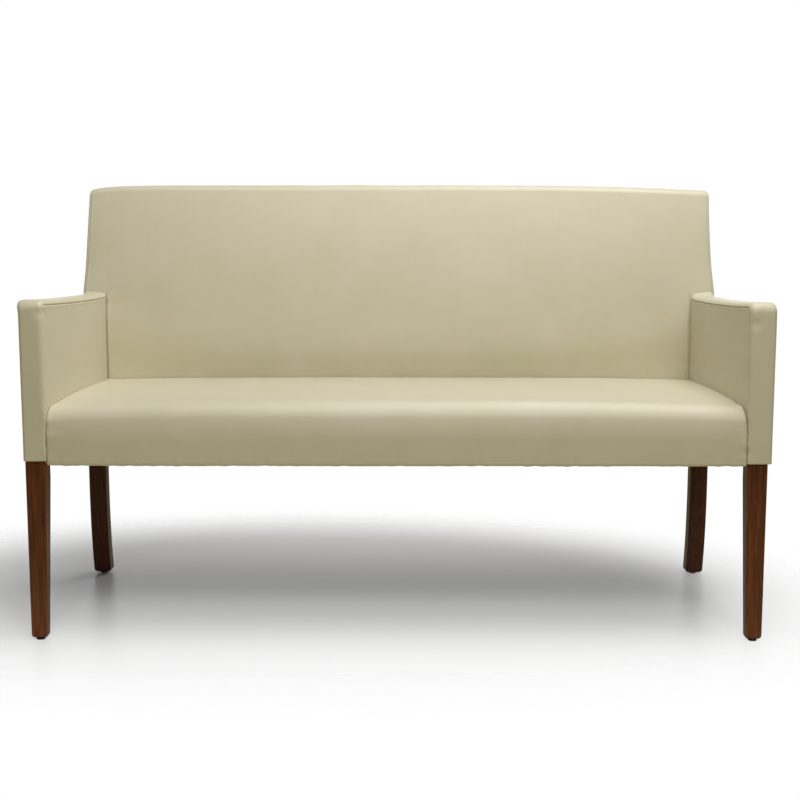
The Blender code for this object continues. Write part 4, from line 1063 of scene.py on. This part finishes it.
def add_light(name, place, target, size, power):
    """A soft box that looks at a target."""
    lamp = bpy.data.lights.new(name, "AREA")
    lamp.shape = "RECTANGLE"
    lamp.size, lamp.size_y = size
    lamp.energy = power
    light = add_object(name, lamp)
    light.location = place
    aim = Vector(target) - Vector(place)
    light.rotation_euler = aim.to_track_quat("-Z", "Y").to_euler()


class LOVESEAT_OT_stage(bpy.types.Operator):
    """Lay the floor, hang the lights and place the camera"""

    bl_idname = "loveseat.stage"
    bl_label = "Stage"

    def execute(self, context):
        looks = context.scene.loveseat_studio
        context.scene.view_settings.view_transform = "Standard"
        bm = bmesh.new()
        bmesh.ops.create_grid(bm, x_segments=1, y_segments=1, size=FLOOR_REACH)
        floor = add_mesh("floor", bm, satin_white_board(looks))
        add_sky()
        for light in LIGHTS:
            add_light(*light)
        lens = bpy.data.cameras.new("camera")
        lens.lens = looks.lens
        lens.sensor_width = SENSOR_WIDTH
        camera = add_object("camera", lens)
        camera.location = looks.eye
        camera.rotation_euler = looks.aim
        bpy.context.scene.camera = camera
        return {"FINISHED"}


class LOVESEAT_OT_frame(bpy.types.Operator):
    """Finish the legs, rails, panels, webbing, glides and dust cover"""

    bl_idname = "loveseat.frame"
    bl_label = "Frame"

    def execute(self, context):
        walnut = stained_walnut(context.scene.loveseat_wood)
        beech_across, beech_deep, beech_up = [planed_beech(way, axis) for axis, way in
                                              enumerate(("across", "deep", "up"))]
        materials = {
            "leg": walnut, "glide": moulded_glide(), "side_rail": beech_deep,
            "cross_rail": beech_deep, "arm_rail": beech_deep, "rail": beech_across,
            "corner_block": beech_across, "stile": beech_up, "panel": pressed_hardboard(),
            "strap": woven_webbing(), "dust_cover": black_cambric(),
        }
        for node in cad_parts:
            kind = next((kind for kind in materials if kind in node), None)
            if kind:
                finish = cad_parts[node].data.materials
                finish.clear()
                finish.append(materials[kind])
        return {"FINISHED"}


class LOVESEAT_OT_seat(bpy.types.Operator):
    """Cover the seat"""

    bl_idname = "loveseat.seat"
    bl_label = "Seat cover"

    def execute(self, context):
        looks = context.scene.loveseat_leather
        add_cover("seat_leather", seat_cover_mesh(looks), looks, "seat_cover", SEAT_PRESSED)
        return {"FINISHED"}


class LOVESEAT_OT_arms(bpy.types.Operator):
    """Cover both arms"""

    bl_idname = "loveseat.arms"
    bl_label = "Arm covers"

    def execute(self, context):
        looks = context.scene.loveseat_leather
        for name, side in SIDES:
            add_cover(f"arm_leather_{name}", arm_cover_mesh(name, side, looks), looks,
                      f"arm_cover_{name}", ARM_PRESSED)
        return {"FINISHED"}


class LOVESEAT_OT_back(bpy.types.Operator):
    """Cover the inside and the outside of the back"""

    bl_idname = "loveseat.back"
    bl_label = "Back covers"

    def execute(self, context):
        looks = context.scene.loveseat_leather
        add_cover("inside_back_leather", back_cover_mesh(looks), looks, "inside_back_cover",
                  BACK_PRESSED)
        piece = add_piece("outside_back_leather", outside_back_mesh(), shared_leather(looks),
                          "outside_back_cover")
        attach(piece, BODY)
        return {"FINISHED"}


class LOVESEAT_OT_foam(bpy.types.Operator):
    """Make the foam under the covers"""

    bl_idname = "loveseat.foam"
    bl_label = "Foam"

    def execute(self, context):
        material = cut_foam()
        for node, (cover, room) in COVERED_BY.items():
            bm = bmesh.new()
            bm.from_mesh(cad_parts[node].data)
            bmesh.ops.remove_doubles(bm, verts=bm.verts, dist=FOAM_WELD)
            settle_foam(bm, bpy.data.objects[cover].data, room)
            piece = add_piece(f"{node}_block", bm, material, node, slot="foam")
            piece.data.set_sharp_from_angle(angle=FOAM_SHARP)
            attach(piece, BODY)
        return {"FINISHED"}


class LOVESEAT_PT_panel(bpy.types.Panel):
    """Lists the loveseat's sizes, colours and pieces"""

    bl_label = "Loveseat"
    bl_space_type = "VIEW_3D"
    bl_region_type = "UI"
    bl_category = "Loveseat"

    def draw(self, context):
        layout = self.layout
        for group in GROUPS:
            looks = getattr(context.scene, group)
            for name in looks.__annotations__:
                layout.prop(looks, name)
        for operator in OPERATORS:
            layout.operator(operator.bl_idname)


GROUPS = {
    "loveseat_leather": LOVESEAT_PG_leather,
    "loveseat_wood": LOVESEAT_PG_wood,
    "loveseat_studio": LOVESEAT_PG_studio,
}
OPERATORS = (LOVESEAT_OT_stage, LOVESEAT_OT_frame, LOVESEAT_OT_seat, LOVESEAT_OT_arms,
             LOVESEAT_OT_back, LOVESEAT_OT_foam)


def register():
    """Add the add-on's classes to Blender."""
    for name, group in GROUPS.items():
        bpy.utils.register_class(group)
        setattr(bpy.types.Scene, name, bpy.props.PointerProperty(type=group))
    for operator in OPERATORS:
        bpy.utils.register_class(operator)
    bpy.utils.register_class(LOVESEAT_PT_panel)


def unregister():
    """Take the add-on's classes out again."""
    bpy.utils.unregister_class(LOVESEAT_PT_panel)
    for operator in reversed(OPERATORS):
        bpy.utils.unregister_class(operator)
    for name, group in GROUPS.items():
        delattr(bpy.types.Scene, name)
        bpy.utils.unregister_class(group)


def main():
    """Build the loveseat's looks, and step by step."""
    register()
    bpy.ops.loveseat.stage()
    bpy.ops.loveseat.frame()
    bpy.ops.loveseat.seat()
    bpy.ops.loveseat.arms()
    bpy.ops.loveseat.back()
    bpy.ops.loveseat.foam()


if __name__ == "__main__":
    main()
